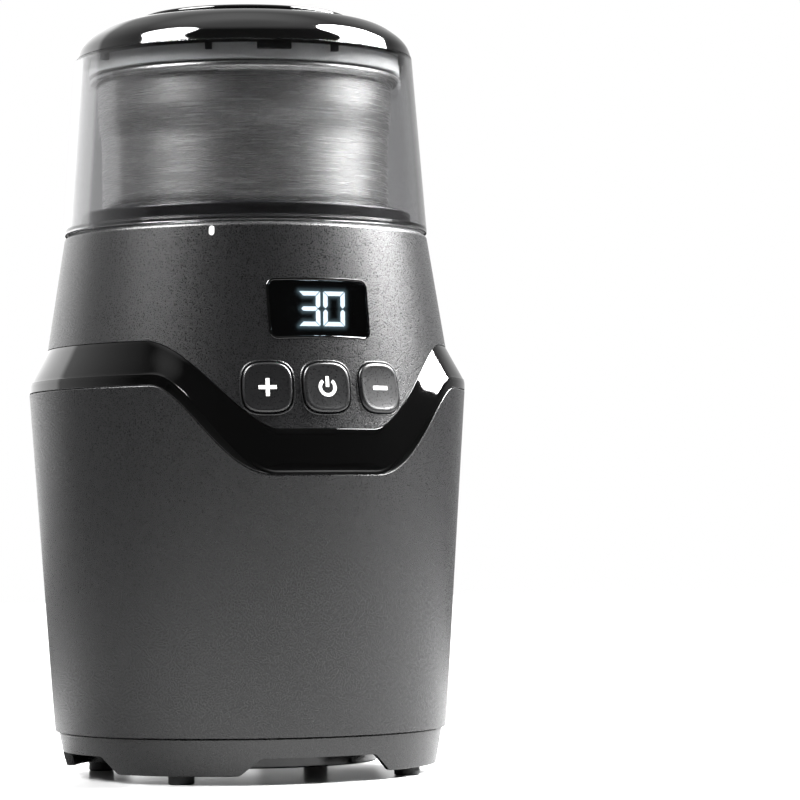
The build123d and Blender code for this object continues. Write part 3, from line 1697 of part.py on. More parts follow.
# ---------------------------------------------------------------- making and writing every piece
pieces = {
    "lower_shell": make_lower_shell(),
    "trim_band": make_trim_band(),
    "upper_shell": make_upper_shell(),
    "alignment_mark": make_alignment_mark(),
    "display_bezel": make_display_bezel(),
    "display_window": make_display_window(),
    "display_module": make_display_module(),
    "display_digits": make_display_digits(),
    "control_board": make_control_board(),
    "button_switches": make_button_switches(),
    "board_screws": make_board_screws(),
    "lid_cover": make_lid_cover(),
    "lid_cap": make_lid_cap(),
    "lid_disc": make_lid_disc(),
    "lid_inner_ring": make_lid_inner_ring(),
    "lid_seal": make_lid_seal(),
    "bowl_cup": make_bowl_cup(),
    "bowl_collar": make_bowl_collar(),
    "bowl_hub": make_bowl_hub(),
    "hub_bearing": make_hub_bearing(),
    "hub_seal": make_hub_seal(),
    "hub_nut": make_hub_nut(),
    "grinding_blade": make_grinding_blade(),
    "blade_shaft": make_blade_shaft(),
    "blade_rivet": make_blade_rivet(),
    "blade_washer": make_blade_washer(),
    "driven_dog": make_driven_dog(),
    "drive_dog": make_drive_dog(),
    "bowl_seat_ring": make_bowl_seat_ring(),
    "bowl_socket": make_bowl_socket(),
    "socket_screws": make_socket_screws(),
    "shaft_seal": make_shaft_seal(),
    "interlock_pin": make_interlock_pin(),
    "interlock_switch": make_interlock_switch(),
    "rubber_mounts": make_rubber_mounts(),
    "upper_bracket": make_upper_bracket(),
    "lower_bracket": make_lower_bracket(),
    "field_core": make_field_core(),
    "field_coils": make_field_coils(),
    "motor_bearings": make_motor_bearings(),
    "motor_screws": make_motor_screws(),
    "brush_holders": make_brush_holders(),
    "carbon_brushes": make_carbon_brushes(),
    "motor_shaft": make_motor_shaft(),
    "armature_core": make_armature_core(),
    "armature_windings": make_armature_windings(),
    "commutator": make_commutator(),
    "cooling_fan": make_cooling_fan(),
    "base_skirt": make_base_skirt(),
    "cord_spool": make_cord_spool(),
    "rubber_feet": make_rubber_feet(),
    "cord_grommet": make_cord_grommet(),
    "power_board": make_power_board(),
    "power_parts": make_power_parts(),
    "base_screws": make_base_screws(),
    "case_screws": make_case_screws(),
}
for name, angle in button_angles().items():
    pieces[name] = make_button(angle)
for name, piece in pieces.items():
    save(piece, name)
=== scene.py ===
"""Looks of an electric spice grinder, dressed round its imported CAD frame.

Sizes are in millimetres until a mesh is written, which is in metres. +Z is up, the display faces -Y,
and angles round the axis are degrees from the front, positive towards +X.
"""

import json
import logging
import math
from collections.abc import Iterable, Mapping, Sequence
from dataclasses import dataclass
from enum import Enum

import bmesh
import bpy
from mathutils import Matrix, Vector


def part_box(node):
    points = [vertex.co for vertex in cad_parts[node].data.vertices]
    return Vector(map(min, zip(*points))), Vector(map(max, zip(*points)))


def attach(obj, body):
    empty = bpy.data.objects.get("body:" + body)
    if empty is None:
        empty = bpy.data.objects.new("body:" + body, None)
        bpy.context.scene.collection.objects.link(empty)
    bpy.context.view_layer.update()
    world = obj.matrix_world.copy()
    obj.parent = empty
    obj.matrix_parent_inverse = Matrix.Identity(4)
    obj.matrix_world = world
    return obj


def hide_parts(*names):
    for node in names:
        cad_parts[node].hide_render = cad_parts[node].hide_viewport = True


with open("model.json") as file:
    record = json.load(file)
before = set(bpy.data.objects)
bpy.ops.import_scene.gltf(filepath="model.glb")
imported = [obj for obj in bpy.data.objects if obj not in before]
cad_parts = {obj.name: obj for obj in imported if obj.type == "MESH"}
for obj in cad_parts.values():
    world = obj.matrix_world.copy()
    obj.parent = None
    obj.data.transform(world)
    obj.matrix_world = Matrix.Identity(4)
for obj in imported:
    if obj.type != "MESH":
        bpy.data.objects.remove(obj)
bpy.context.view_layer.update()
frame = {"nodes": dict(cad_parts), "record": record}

LOG = logging.getLogger("grinder")
MM = 0.001
ROUND = 360  # sections round a turned piece
CREASE = 32.0  # sharpest angle between faces that still shades smooth, in degrees
SEAM_GAP = 0.15  # shadow line between mouldings of the case
PLAY = 0.3  # between a button and its hole
INSIDE = 0.2  # how far the dressed band stays inside the CAD's
RIGHT, FRONT = Vector((1, 0, 0)), Vector((0, -1, 0))
UP, DOWN = Vector((0, 0, 1)), Vector((0, 0, -1))
MATH = "ShaderNodeMath"
MAP = "ShaderNodeMapRange"

Piece, Tree = bpy.types.Object, bpy.types.NodeTree
Node, Socket = bpy.types.Node, bpy.types.NodeSocket
Flat = tuple[float, float]
Ring = tuple[float, float, float]
Corner = tuple[float, ...]  # across, up and, where it is round, its radius


# ---------------------------------------------------------------- nodes and colours
def linear(colour: str) -> tuple[float, float, float, float]:
    """Turns an sRGB hex colour into linear light.

    Args:
        colour: The colour as "#rrggbb".

    Returns:
        Red, green, blue and an alpha of one.
    """
    shares = [int(colour[i : i + 2], 16) / 255 for i in (1, 3, 5)]
    light = [s / 12.92 if s <= 0.04045 else ((s + 0.055) / 1.055) ** 2.4 for s in shares]
    return (light[0], light[1], light[2], 1.0)


def add_node(
    tree: Tree, kind: str, inputs: Mapping[str | int, object] | None = None, **settings: object
) -> Node:
    """Adds one node with its settings and links.

    Args:
        tree: The tree that gets the node.
        kind: The node's Blender type.
        inputs: Values for its sockets, by name or place. A socket, or a node's first output, is linked.
        **settings: Properties of the node.

    Returns:
        The new node.
    """
    node = tree.nodes.new(kind)
    for name, value in settings.items():
        setattr(node, name, value)
    for key, value in (inputs or {}).items():
        if isinstance(value, Node):
            value = value.outputs[0]
        if isinstance(value, Socket):
            tree.links.new(value, node.inputs[key])
        else:
            node.inputs[key].default_value = value
    return node


def emptied(owner: bpy.types.Material | bpy.types.World) -> Tree:
    """Gives the node tree of a new material or world, with nothing in it."""
    owner.use_nodes = True
    owner.node_tree.nodes.clear()
    return owner.node_tree


# ---------------------------------------------------------------- finishes
class Slot(Enum):
    """The record's material slots."""

    MATT_CASE = "matt_case"
    GLOSS_BLACK = "gloss_black"
    SATIN_BLACK = "satin_black"
    BUTTON_BLACK = "button_black"
    SOFT_BLACK = "soft_black"
    CLEAR_SILICONE = "clear_silicone"
    CLEAR_SMOKED = "clear_smoked"
    DISPLAY_LENS = "display_lens"
    LIT_WHITE = "lit_white"
    PRINT_WHITE = "print_white"
    CIRCUIT_BOARD = "circuit_board"
    COMPONENT_PLASTIC = "component_plastic"
    PLATED_SCREW = "plated_screw"
    CAST_ALUMINIUM = "cast_aluminium"
    STEEL_LAMINATIONS = "steel_laminations"
    ENAMELLED_COPPER = "enamelled_copper"
    COMMUTATOR_COPPER = "commutator_copper"
    BRASS_PARTS = "brass_parts"
    CARBON = "carbon"
    BEARING_STEEL = "bearing_steel"
    BRUSHED_BOWL = "brushed_bowl"
    BLADE_STEEL = "blade_steel"


@dataclass(frozen=True)
class Grain:
    """A fine pattern over a surface, in real millimetres."""

    size: float
    depth: float = 0.0  # how high it stands
    tone: float = 0.0  # share by which it lightens and darkens the colour
    gloss: float = 0.0  # how much it changes the roughness
    stretch: Ring = (1.0, 1.0, 1.0)  # times its size along each axis
    window: Flat = (0.35, 0.65)  # stretch of the noise that makes it
    detail: float = 2.0

    def value(self, tree: Tree, place: Socket) -> Node:
        """Adds the pattern's nodes.

        Args:
            tree: The material's tree.
            place: The coordinates that it reads, in metres.

        Returns:
            The node that gives its strength over the surface, from 0 to 1.
        """
        scale = Vector([1 / (self.size * MM * s) for s in self.stretch])
        spread = add_node(tree, "ShaderNodeMapping", {"Vector": place, "Scale": scale})
        noise = add_node(tree, "ShaderNodeTexNoise", {"Vector": spread, "Scale": 1.0, "Detail": self.detail})
        low, high = self.window
        return add_node(tree, MAP, {"Value": noise, "From Min": low, "From Max": high})


@dataclass(frozen=True)
class Finish:
    """A real material and how its surface was made."""

    name: str
    colour: str
    roughness: float
    grains: tuple[Grain, ...] = ()
    metallic: float = 0.0
    ior: float = 1.5
    clear: float = 0.0  # share of light that goes through
    brushed: float = 0.0  # anisotropy along the brushing
    coat: float = 0.0
    glow: float = 0.0
    on_map: bool = False  # patterns follow the piece's own map instead of its place
    sheen: float = 0.0

    def material(self) -> bpy.types.Material:
        """Builds the node material."""
        material = bpy.data.materials.new(self.name)
        tree = emptied(material)
        colour = linear(self.colour)
        constants = {
            "Base Color": colour,
            "Roughness": self.roughness,
            "Metallic": self.metallic,
            "IOR": self.ior,
            "Transmission Weight": self.clear,
            "Anisotropic": self.brushed,
            "Anisotropic Rotation": 0.25,  # highlights spread across the brushing
            "Coat Weight": self.coat,
            "Coat Roughness": 0.04,
            "Sheen Weight": self.sheen,
            "Emission Color": colour,
            "Emission Strength": self.glow,
        }
        shader = add_node(tree, "ShaderNodeBsdfPrincipled", constants)
        add_node(tree, "ShaderNodeOutputMaterial", {"Surface": shader})
        place = add_node(tree, "ShaderNodeTexCoord").outputs["UV" if self.on_map else "Object"]
        if self.brushed:
            tangent = add_node(tree, "ShaderNodeTangent", direction_type="UV_MAP")
            tree.links.new(tangent.outputs[0], shader.inputs["Tangent"])
        found: dict[str, Node] = {}
        for grain in self.grains:
            value = grain.value(tree, place)
            if grain.tone:
                shade = {"Value": value, "To Min": 1 - grain.tone, "To Max": 1 + grain.tone}
                tint = {0: found.get("Base Color", colour[:3]), "Scale": add_node(tree, MAP, shade)}
                found["Base Color"] = add_node(tree, "ShaderNodeVectorMath", tint, operation="SCALE")
            if grain.gloss:
                middle = found.get("Roughness", self.roughness - grain.gloss / 2)
                rough = {0: value, 1: grain.gloss, 2: middle}
                found["Roughness"] = add_node(tree, MATH, rough, operation="MULTIPLY_ADD")
            if grain.depth:
                bump = {"Height": value, "Distance": grain.depth * MM}
                if "Normal" in found:
                    bump["Normal"] = found["Normal"]
                found["Normal"] = add_node(tree, "ShaderNodeBump", bump)
        for name, node in found.items():
            tree.links.new(node.outputs[0], shader.inputs[name])
        return material


FINISHES = {
    # ABS out of a spark-eroded mould: an even, fine glitter of tiny facets. The pits are about 0.15 mm
    # and are drawn 0.32 mm wide, so that they show.
    Slot.MATT_CASE: Finish(
        "matt_spark_eroded_abs", "#0a0a0b", 0.31,
        (Grain(0.32, depth=0.02, tone=0.3, gloss=0.12, detail=0.0), Grain(9.0, tone=0.05, detail=3.0)),
        ior=1.53,
    ),
    # ABS out of a polished mould: deep black with sharp reflections, which wave a little over its sinks.
    Slot.GLOSS_BLACK: Finish(
        "polished_black_abs", "#030303", 0.045,
        (Grain(14.0, depth=0.012, detail=1.0), Grain(1.1, gloss=0.02)), ior=1.54,
    ),
    # ABS out of a lightly blasted mould: soft, broad highlights.
    Slot.SATIN_BLACK: Finish(
        "satin_black_abs", "#070708", 0.24, (Grain(0.35, depth=0.004, tone=0.12, gloss=0.05),), ior=1.53
    ),
    # Button caps of ABS with a fine satin, smoother than the case.
    Slot.BUTTON_BLACK: Finish(
        "satin_button_abs", "#0b0b0c", 0.3, (Grain(0.5, depth=0.005, tone=0.15, gloss=0.06),), ior=1.53
    ),
    # Black nitrile rubber: dull, with a dusty bloom.
    Slot.SOFT_BLACK: Finish(
        "black_nitrile_rubber", "#161617", 0.68, (Grain(0.5, depth=0.01, tone=0.2, gloss=0.1),), sheen=0.1
    ),
    # Translucent silicone, frosted by its mould.
    Slot.CLEAR_SILICONE: Finish(
        "frosted_silicone", "#a9aaaa", 0.5, (Grain(0.6, depth=0.01, tone=0.05),), ior=1.41, clear=0.2
    ),
    # Lightly smoked copolyester, injection moulded: clear, with faint flow waves.
    Slot.CLEAR_SMOKED: Finish(
        "smoked_clear_copolyester", "#bcbcbd", 0.0,
        (Grain(22.0, depth=0.01, detail=0.0),), ior=1.51, clear=1.0,
    ),
    # Dark acrylic lens that hides the display until it lights.
    Slot.DISPLAY_LENS: Finish(
        "dark_acrylic_lens", "#6a6e72", 0.02, (Grain(0.8, gloss=0.01),), ior=1.49, clear=1.0
    ),
    # Light-emitting segments under a white diffuser.
    Slot.LIT_WHITE: Finish("lit_white_segments", "#e9f4fa", 0.5, (Grain(1.0, tone=0.04),), glow=9.0),
    # White pad print: thin, even ink with a slight tooth.
    Slot.PRINT_WHITE: Finish("white_pad_print", "#dcdcda", 0.45, (Grain(0.3, depth=0.003, tone=0.03),)),
    # Glass-epoxy board under green solder mask.
    Slot.CIRCUIT_BOARD: Finish(
        "green_solder_mask", "#1d5a38", 0.32,
        (Grain(2.4, depth=0.02, tone=0.3, window=(0.48, 0.52)),), coat=0.3,
    ),
    # Glass-filled nylon of switches, relays and the fan: slightly streaked.
    Slot.COMPONENT_PLASTIC: Finish(
        "glass_filled_nylon", "#26282b", 0.5, (Grain(0.5, depth=0.008, tone=0.2, stretch=(1, 1, 3)),)
    ),
    # Steel screws with bright zinc plating: slightly blue, with a fine orange peel.
    Slot.PLATED_SCREW: Finish(
        "zinc_plated_steel", "#b9bec4", 0.3, (Grain(0.4, depth=0.004, tone=0.08, gloss=0.1),), metallic=1.0
    ),
    # Pressure die-cast aluminium: grey, with a coarse cloudy skin.
    Slot.CAST_ALUMINIUM: Finish(
        "die_cast_aluminium", "#a4a6a8", 0.45,
        (Grain(0.8, depth=0.02, tone=0.12, gloss=0.12), Grain(6.0, tone=0.1)), metallic=1.0,
    ),
    # Stacked electrical steel, 0.5 mm sheets: level lines with a dull oxide.
    Slot.STEEL_LAMINATIONS: Finish(
        "stacked_electrical_steel", "#6d7076", 0.42,
        (Grain(0.5, depth=0.03, tone=0.35, stretch=(60, 60, 1), detail=0.0),), metallic=1.0,
    ),
    # Enamelled winding wire, 0.4 mm, in close turns: amber over copper. It is drawn 0.8 mm wide.
    Slot.ENAMELLED_COPPER: Finish(
        "enamelled_copper_wire", "#a4532a", 0.28,
        (Grain(0.8, depth=0.12, tone=0.35, stretch=(1, 1, 24), detail=0.0),), metallic=1.0, coat=0.5,
    ),
    # Turned commutator copper with brush tracks.
    Slot.COMMUTATOR_COPPER: Finish(
        "turned_commutator_copper", "#b4704c", 0.3,
        (Grain(0.3, depth=0.006, tone=0.15, stretch=(40, 40, 1)),), metallic=1.0,
    ),
    # Pressed brass of the brush holders and sintered bronze of the bush: warm, slightly porous.
    Slot.BRASS_PARTS: Finish(
        "pressed_brass", "#b8975a", 0.34, (Grain(0.5, depth=0.008, tone=0.15, gloss=0.1),), metallic=1.0
    ),
    # Pressed electrographite: dull, dark and grainy.
    Slot.CARBON: Finish(
        "electrographite", "#26272a", 0.55, (Grain(0.4, depth=0.02, tone=0.3),), metallic=0.3
    ),
    # Ground bearing steel: bright, with fine lines round it.
    Slot.BEARING_STEEL: Finish(
        "ground_bearing_steel", "#c3c5c8", 0.2,
        (Grain(0.25, depth=0.002, tone=0.06, stretch=(30, 30, 1)),), metallic=1.0,
    ),
    # Deep-drawn stainless steel, brushed as it turns: fine lines round it, drawn 0.27 mm apart.
    Slot.BRUSHED_BOWL: Finish(
        "brushed_stainless_steel", "#cbcbca", 0.26,
        (
            Grain(0.27, depth=0.0003, tone=0.06, gloss=0.05, stretch=(80, 1, 1), detail=3.0),
            Grain(0.4, depth=0.002, tone=0.05),
        ),
        metallic=1.0, brushed=0.6, on_map=True,
    ),
    # Hardened stainless strip, ground lengthwise before it was bent.
    Slot.BLADE_STEEL: Finish(
        "ground_stainless_blade", "#c5c7ca", 0.24,
        (Grain(0.3, depth=0.004, tone=0.1, gloss=0.1, stretch=(40, 1, 1), detail=3.0),), metallic=1.0,
    ),
}
MATERIALS = {slot: finish.material() for slot, finish in FINISHES.items()}


# ---------------------------------------------------------------- meshes
def linked(name: str, data: bpy.types.ID) -> Piece:
    """Makes an object of a mesh, light or camera and links it to the scene."""
    obj = bpy.data.objects.new(name, data)
    bpy.context.scene.collection.objects.link(obj)
    return obj


def tidy_mesh(obj: Piece, crease: float = CREASE) -> Piece:
    """Turns an object's faces outwards and shades them smooth up to a crease angle.

    Args:
        obj: The object to tidy.
        crease: Sharpest angle between faces that still shades smooth, in degrees.

    Returns:
        The same object.
    """
    form = bmesh.new()
    form.from_mesh(obj.data)
    bmesh.ops.recalc_face_normals(form, faces=form.faces)
    form.to_mesh(obj.data)
    form.free()
    obj.data.shade_smooth()
    obj.data.set_sharp_from_angle(angle=math.radians(crease))
    return obj


def mesh_object(
    name: str, points: Iterable[Sequence[float]], faces: Sequence[Sequence[int]], uvs: Sequence[Flat] = ()
) -> Piece:
    """Makes an object with its faces outwards.

    Args:
        name: The object's name.
        points: Vertices in millimetres.
        faces: Vertex numbers of each face.
        uvs: Pattern coordinates in metres, one for each corner of each face in turn.

    Returns:
        The new object, linked to the scene.
    """
    mesh = bpy.data.meshes.new(name)
    mesh.from_pydata([Vector(p) * MM for p in points], [], faces)
    if uvs:
        layer = mesh.uv_layers.new(name="around")
        for corner, uv in zip(layer.data, uvs, strict=True):
            corner.uv = uv
    return tidy_mesh(linked(name, mesh))


def applied(obj: Piece) -> Piece:
    """Turns an object with modifiers into a plain mesh, and gives it back."""
    graph = bpy.context.evaluated_depsgraph_get()
    mesh = bpy.data.meshes.new_from_object(obj.evaluated_get(graph), depsgraph=graph)
    obj.modifiers.clear()
    obj.data = mesh
    return obj


def joined(name: str, parts: Sequence[Piece]) -> Piece:
    """Joins closed pieces of one material into one object.

    Args:
        name: The new object's name.
        parts: The objects to join, which are removed.

    Returns:
        The new object.
    """
    form = bmesh.new()
    for part in parts:
        form.from_mesh(part.data)
        bpy.data.objects.remove(part)
    mesh = bpy.data.meshes.new(name)
    form.to_mesh(mesh)
    form.free()
    return linked(name, mesh)


def cut(obj: Piece, tool: Piece) -> Piece:
    """Cuts one closed piece out of another.

    Args:
        obj: The piece that is cut.
        tool: The piece that is taken away, which is removed.

    Returns:
        The piece that was cut.
    """
    boolean = obj.modifiers.new("cut", "BOOLEAN")
    boolean.operation = "DIFFERENCE"
    boolean.solver = "EXACT"
    boolean.object = tool
    tidy_mesh(applied(obj))
    bpy.data.objects.remove(tool)
    return obj


def skin(name: str, loops: Sequence[Sequence[Vector]], cyclic: bool = False) -> Piece:
    """Skins a closed piece through loops of equal count, where a loop of one point is a pole.

    Args:
        name: The object's name.
        loops: Loops of points in millimetres, in order along the piece.
        cyclic: True where the last loop joins the first, as on a frame.

    Returns:
        The new object.
    """
    points: list[Vector] = []
    numbers: list[list[int]] = []
    for loop in loops:
        numbers.append(list(range(len(points), len(points) + len(loop))))
        points.extend(loop)
    faces: list[list[int]] = []
    after = numbers[1:] + ([numbers[0]] if cyclic else [])
    for low, high in zip(numbers, after, strict=False):
        count = max(len(low), len(high))
        for i in range(count):
            j = (i + 1) % count
            face = [low[i % len(low)], low[j % len(low)], high[j % len(high)], high[i % len(high)]]
            faces.append(list(dict.fromkeys(face)))
    if not cyclic:
        faces += [ends for ends in (numbers[0], numbers[-1]) if len(ends) > 2]
    return mesh_object(name, points, faces)


def filleted(corners: Sequence[Corner], steps: int = 6) -> list[Flat]:
    """Rounds the corners of a closed profile.

    Args:
        corners: Across, up and, where a corner is round, its radius.
        steps: Straight pieces in each rounding.

    Returns:
        The points of the profile.
    """
    points: list[Flat] = []
    for i, corner in enumerate(corners):
        here = Vector(corner[:2])
        if len(corner) < 3:
            points.append((here.x, here.y))
            continue
        before = (Vector(corners[i - 1][:2]) - here).normalized()
        after = (Vector(corners[(i + 1) % len(corners)][:2]) - here).normalized()
        half = before.angle(after) / 2
        centre = here + (before + after).normalized() * (corner[2] / math.sin(half))
        first = here + before * (corner[2] / math.tan(half)) - centre
        sweep = math.pi - 2 * half
        if before.x * after.y - before.y * after.x > 0:
            sweep = -sweep
        for step in range(steps + 1):
            a = sweep * step / steps
            x = first.x * math.cos(a) - first.y * math.sin(a)
            y = first.x * math.sin(a) + first.y * math.cos(a)
            points.append((centre.x + x, centre.y + y))
    return points


def lathe(
    name: str, corners: Sequence[Corner], steps: int = 6, arc: float = 360.0, count: int = ROUND
) -> Piece:
    """Turns a closed profile about the axis, with a pattern map round and along it.

    Args:
        name: The object's name.
        corners: Radius, height and rounding of the profile's corners, in millimetres.
        steps: Straight pieces in each rounding.
        arc: Angle that the piece covers about the front; 360 closes it.
        count: Sections round the piece.

    Returns:
        The new object.
    """
    profile = filleted(corners, steps)
    whole = arc >= 360
    columns = count if whole else count + 1
    start = 0.0 if whole else -arc / 2
    turn = math.radians(arc) * max(radius for radius, _ in profile) * MM / count
    points: list[Vector] = []
    numbers: list[list[int]] = []
    for radius, height in profile:
        if radius == 0:
            numbers.append([len(points)] * (columns + 1))
            points.append(Vector((0, 0, height)))
            continue
        numbers.append([len(points) + i % columns for i in range(columns + 1)])
        for i in range(columns):
            a = math.radians(start + arc * i / count)
            points.append(Vector((radius * math.sin(a), -radius * math.cos(a), height)))
    lengths = [0.0]
    for here, after in zip(profile, [*profile[1:], profile[0]], strict=True):
        lengths.append(lengths[-1] + math.dist(here, after))
    faces: list[list[int]] = []
    uvs: list[Flat] = []
    for i, low in enumerate(numbers):
        high = numbers[(i + 1) % len(numbers)]
        for j in range(count):
            around = ((low, 0, i), (low, 1, i), (high, 1, i + 1), (high, 0, i + 1))
            kept = {ring[j + side]: (j + side, row) for ring, side, row in around}
            if len(kept) > 2:
                faces.append(list(kept))
                uvs += [(column * turn, lengths[row] * MM) for column, row in kept.values()]
    if not whole:
        for column in (0, count):
            faces.append([row[column] for row in numbers])
            uvs += [(radius * MM, height * MM) for radius, height in profile]
    return mesh_object(name, points, faces, uvs)


def tube(inner: float, outer: float, low: float, high: float) -> list[Corner]:
    """Gives the square profile of a ring between two radii and two heights."""
    return [(inner, low), (outer, low), (outer, high), (inner, high)]


def flowing(points: Sequence[Flat], steps: int = 8) -> list[Flat]:
    """Draws a smooth curve through points.

    Args:
        points: The points that the curve runs through.
        steps: Straight pieces between two of them.

    Returns:
        The points of the curve, with both ends.
    """
    ends = [2 * Vector(points[0]) - Vector(points[1]), 2 * Vector(points[-1]) - Vector(points[-2])]
    knots = [ends[0], *map(Vector, points), ends[1]]
    curve: list[Flat] = []
    for p0, p1, p2, p3 in zip(knots, knots[1:], knots[2:], knots[3:], strict=False):
        for step in range(steps):
            t = step / steps
            bend = 2 * p1 + (p2 - p0) * t + (2 * p0 - 5 * p1 + 4 * p2 - p3) * t**2
            point = (bend + (3 * p1 - p0 - 3 * p2 + p3) * t**3) / 2
            curve.append((point.x, point.y))
    return [*curve, (points[-1][0], points[-1][1])]


# ---------------------------------------------------------------- faces and what stands on them
def matrix_of(right: Vector, up: Vector, outward: Vector, origin: Vector) -> Matrix:
    """Makes a placing matrix from its three directions and its origin."""
    matrix = Matrix((right, up, outward)).transposed().to_4x4()
    matrix.translation = origin
    return matrix


def ray(angle: float, length: float = 1.0, height: float = 0.0) -> Vector:
    """Gives the point at an angle from the front, a distance from the axis and a height."""
    a = math.radians(angle)
    return Vector((length * math.sin(a), -length * math.cos(a), height))


@dataclass(frozen=True)
class Outline:
    """A rounded shape on a face, in millimetres: a squircle, or a rectangle with round corners."""

    width: float
    height: float
    corner: float
    squareness: float = 0.0  # exponent of a squircle; 0 for a rectangle
    step: float = 0.8  # longest straight piece
    squircle_points: int = 120

    def points(self, inset: float = 0.0) -> list[Flat]:
        """Gives the outline, moved in by an inset, always with the same number of points."""
        half_width, half_height = self.width / 2 - inset, self.height / 2 - inset
        if self.squareness:
            turns = [2 * math.pi * i / self.squircle_points for i in range(self.squircle_points)]
            power = 2 / self.squareness
            across = [half_width * math.copysign(abs(math.cos(t)) ** power, math.cos(t)) for t in turns]
            along = [half_height * math.copysign(abs(math.sin(t)) ** power, math.sin(t)) for t in turns]
            return list(zip(across, along, strict=True))
        radius = max(self.corner - inset, 0.05)
        x, y = half_width - radius, half_height - radius
        middles = ((x, y), (-x, y), (-x, -y), (x, -y))
        shape: list[Flat] = []
        for quarter, (middle, after) in enumerate(zip(middles, (*middles[1:], middles[0]), strict=True)):
            turns = [math.radians(90 * quarter + 9 * i) for i in range(11)]
            shape += [(middle[0] + radius * math.cos(t), middle[1] + radius * math.sin(t)) for t in turns]
            start, run = shape[-1], math.ceil((self.height if quarter % 2 else self.width) / self.step)
            along = (after[0] - middle[0], after[1] - middle[1])
            shape += [(start[0] + along[0] * i / run, start[1] + along[1] * i / run) for i in range(1, run)]
        return shape


@dataclass(frozen=True)
class Cone:
    """The upper body's tapered face, which the display, buttons and mark sit on."""

    radius: float  # at its top
    top: float
    taper: float  # radius gained with each millimetre down

    def radius_at(self, height: float) -> float:
        """Gives the radius at a height."""
        return self.radius + (self.top - height) * self.taper

    def face(self, angle: float, height: float) -> Matrix:
        """Gives the plane that touches the cone at an angle and height.

        Args:
            angle: Degrees from the front.
            height: Millimetres above the floor.

        Returns:
            A matrix whose x is to the right, y up the face and z outwards.
        """
        lean = math.atan(self.taper)
        outward = ray(angle, math.cos(lean), math.sin(lean))
        right = ray(angle + 90)
        return matrix_of(right, outward.cross(right), outward, ray(angle, self.radius_at(height), height))

    def on(self, face: Matrix, across: float, up: float, lift: float = 0.0) -> Vector:
        """Drops a point of a face onto the cone.

        Args:
            face: The face, as face() gives it.
            across: Place to the right on the face.
            up: Place up the face.
            lift: How far the point stands off the cone.

        Returns:
            The point in millimetres.
        """
        outward = face.col[2].xyz
        point = face @ Vector((across, up, 0))
        for _ in range(6):
            gap = point.xy.length - self.radius_at(point.z)
            point -= outward * (gap * math.cos(math.atan(self.taper)))
        return point + outward * lift


def pad(
    name: str, cone: Cone, face: Matrix, outline: Outline, rings: Sequence[Ring], cyclic: bool = False
) -> Piece:
    """Skins a piece that follows the cone through rings of its outline.

    Args:
        name: The object's name.
        cone: The cone that it follows.
        face: Its face on the cone.
        outline: Its outline on the face.
        rings: Inset, scale and lift of each ring; a scale of 0 is a pole.
        cyclic: True for a frame with a hole.

    Returns:
        The new object.
    """
    loops = []
    for inset, scale, lift in rings:
        spots = outline.points(inset) if scale else [(0.0, 0.0)]
        loops.append([cone.on(face, x * scale, y * scale, lift) for x, y in spots])
    return skin(name, loops, cyclic)


def prism(name: str, face: Matrix, outline: Sequence[Flat], low: float, high: float) -> Piece:
    """Makes a straight-sided piece that stands on a flat face.

    Args:
        name: The object's name.
        face: The face that it stands on, in millimetres.
        outline: Its outline on the face.
        low: Lift of its underside.
        high: Lift of its top.

    Returns:
        The new object.
    """
    return skin(name, [[face @ Vector((x, y, lift)) for x, y in outline] for lift in (low, high)])


# ---------------------------------------------------------------- Geometry Nodes trees
LEVELS = ("Low", "Mid", "High")
LEVEL_SIZES = ("Side", "Drop", "Flat", "Rise", "Skew", "Radius", "Taper")


def geometry_tree(
    name: str, sizes: Iterable[str], counts: Iterable[str]
) -> tuple[Tree, Mapping[str, Socket]]:
    """Starts a Geometry Nodes tree with named inputs.

    Args:
        name: The tree's name.
        sizes: Names of its inputs that are lengths, angles or shares.
        counts: Names of its inputs that are whole numbers.

    Returns:
        The tree and the sockets of its inputs by name.
    """
    tree = bpy.data.node_groups.new(name, "GeometryNodeTree")
    tree.interface.new_socket("Geometry", in_out="OUTPUT", socket_type="NodeSocketGeometry")
    kinds = {"Geometry": ("Geometry",), "Material": ("Material",), "Float": sizes, "Int": counts}
    for kind, names in kinds.items():
        for socket in names:
            tree.interface.new_socket(socket, in_out="INPUT", socket_type=f"NodeSocket{kind}")
    return tree, add_node(tree, "NodeGroupInput").outputs


def close_tree(tree: Tree, given: Mapping[str, Socket], geometry: Node) -> Tree:
    """Ends a Geometry Nodes tree in Realize Instances and Set Material.

    Args:
        tree: The tree.
        given: The sockets of its inputs.
        geometry: The node whose geometry it hands on.

    Returns:
        The tree.
    """
    solid = add_node(tree, "GeometryNodeRealizeInstances", {"Geometry": geometry})
    dressed = add_node(tree, "GeometryNodeSetMaterial", {"Geometry": solid, "Material": given["Material"]})
    add_node(tree, "NodeGroupOutput", {"Geometry": dressed})
    return tree


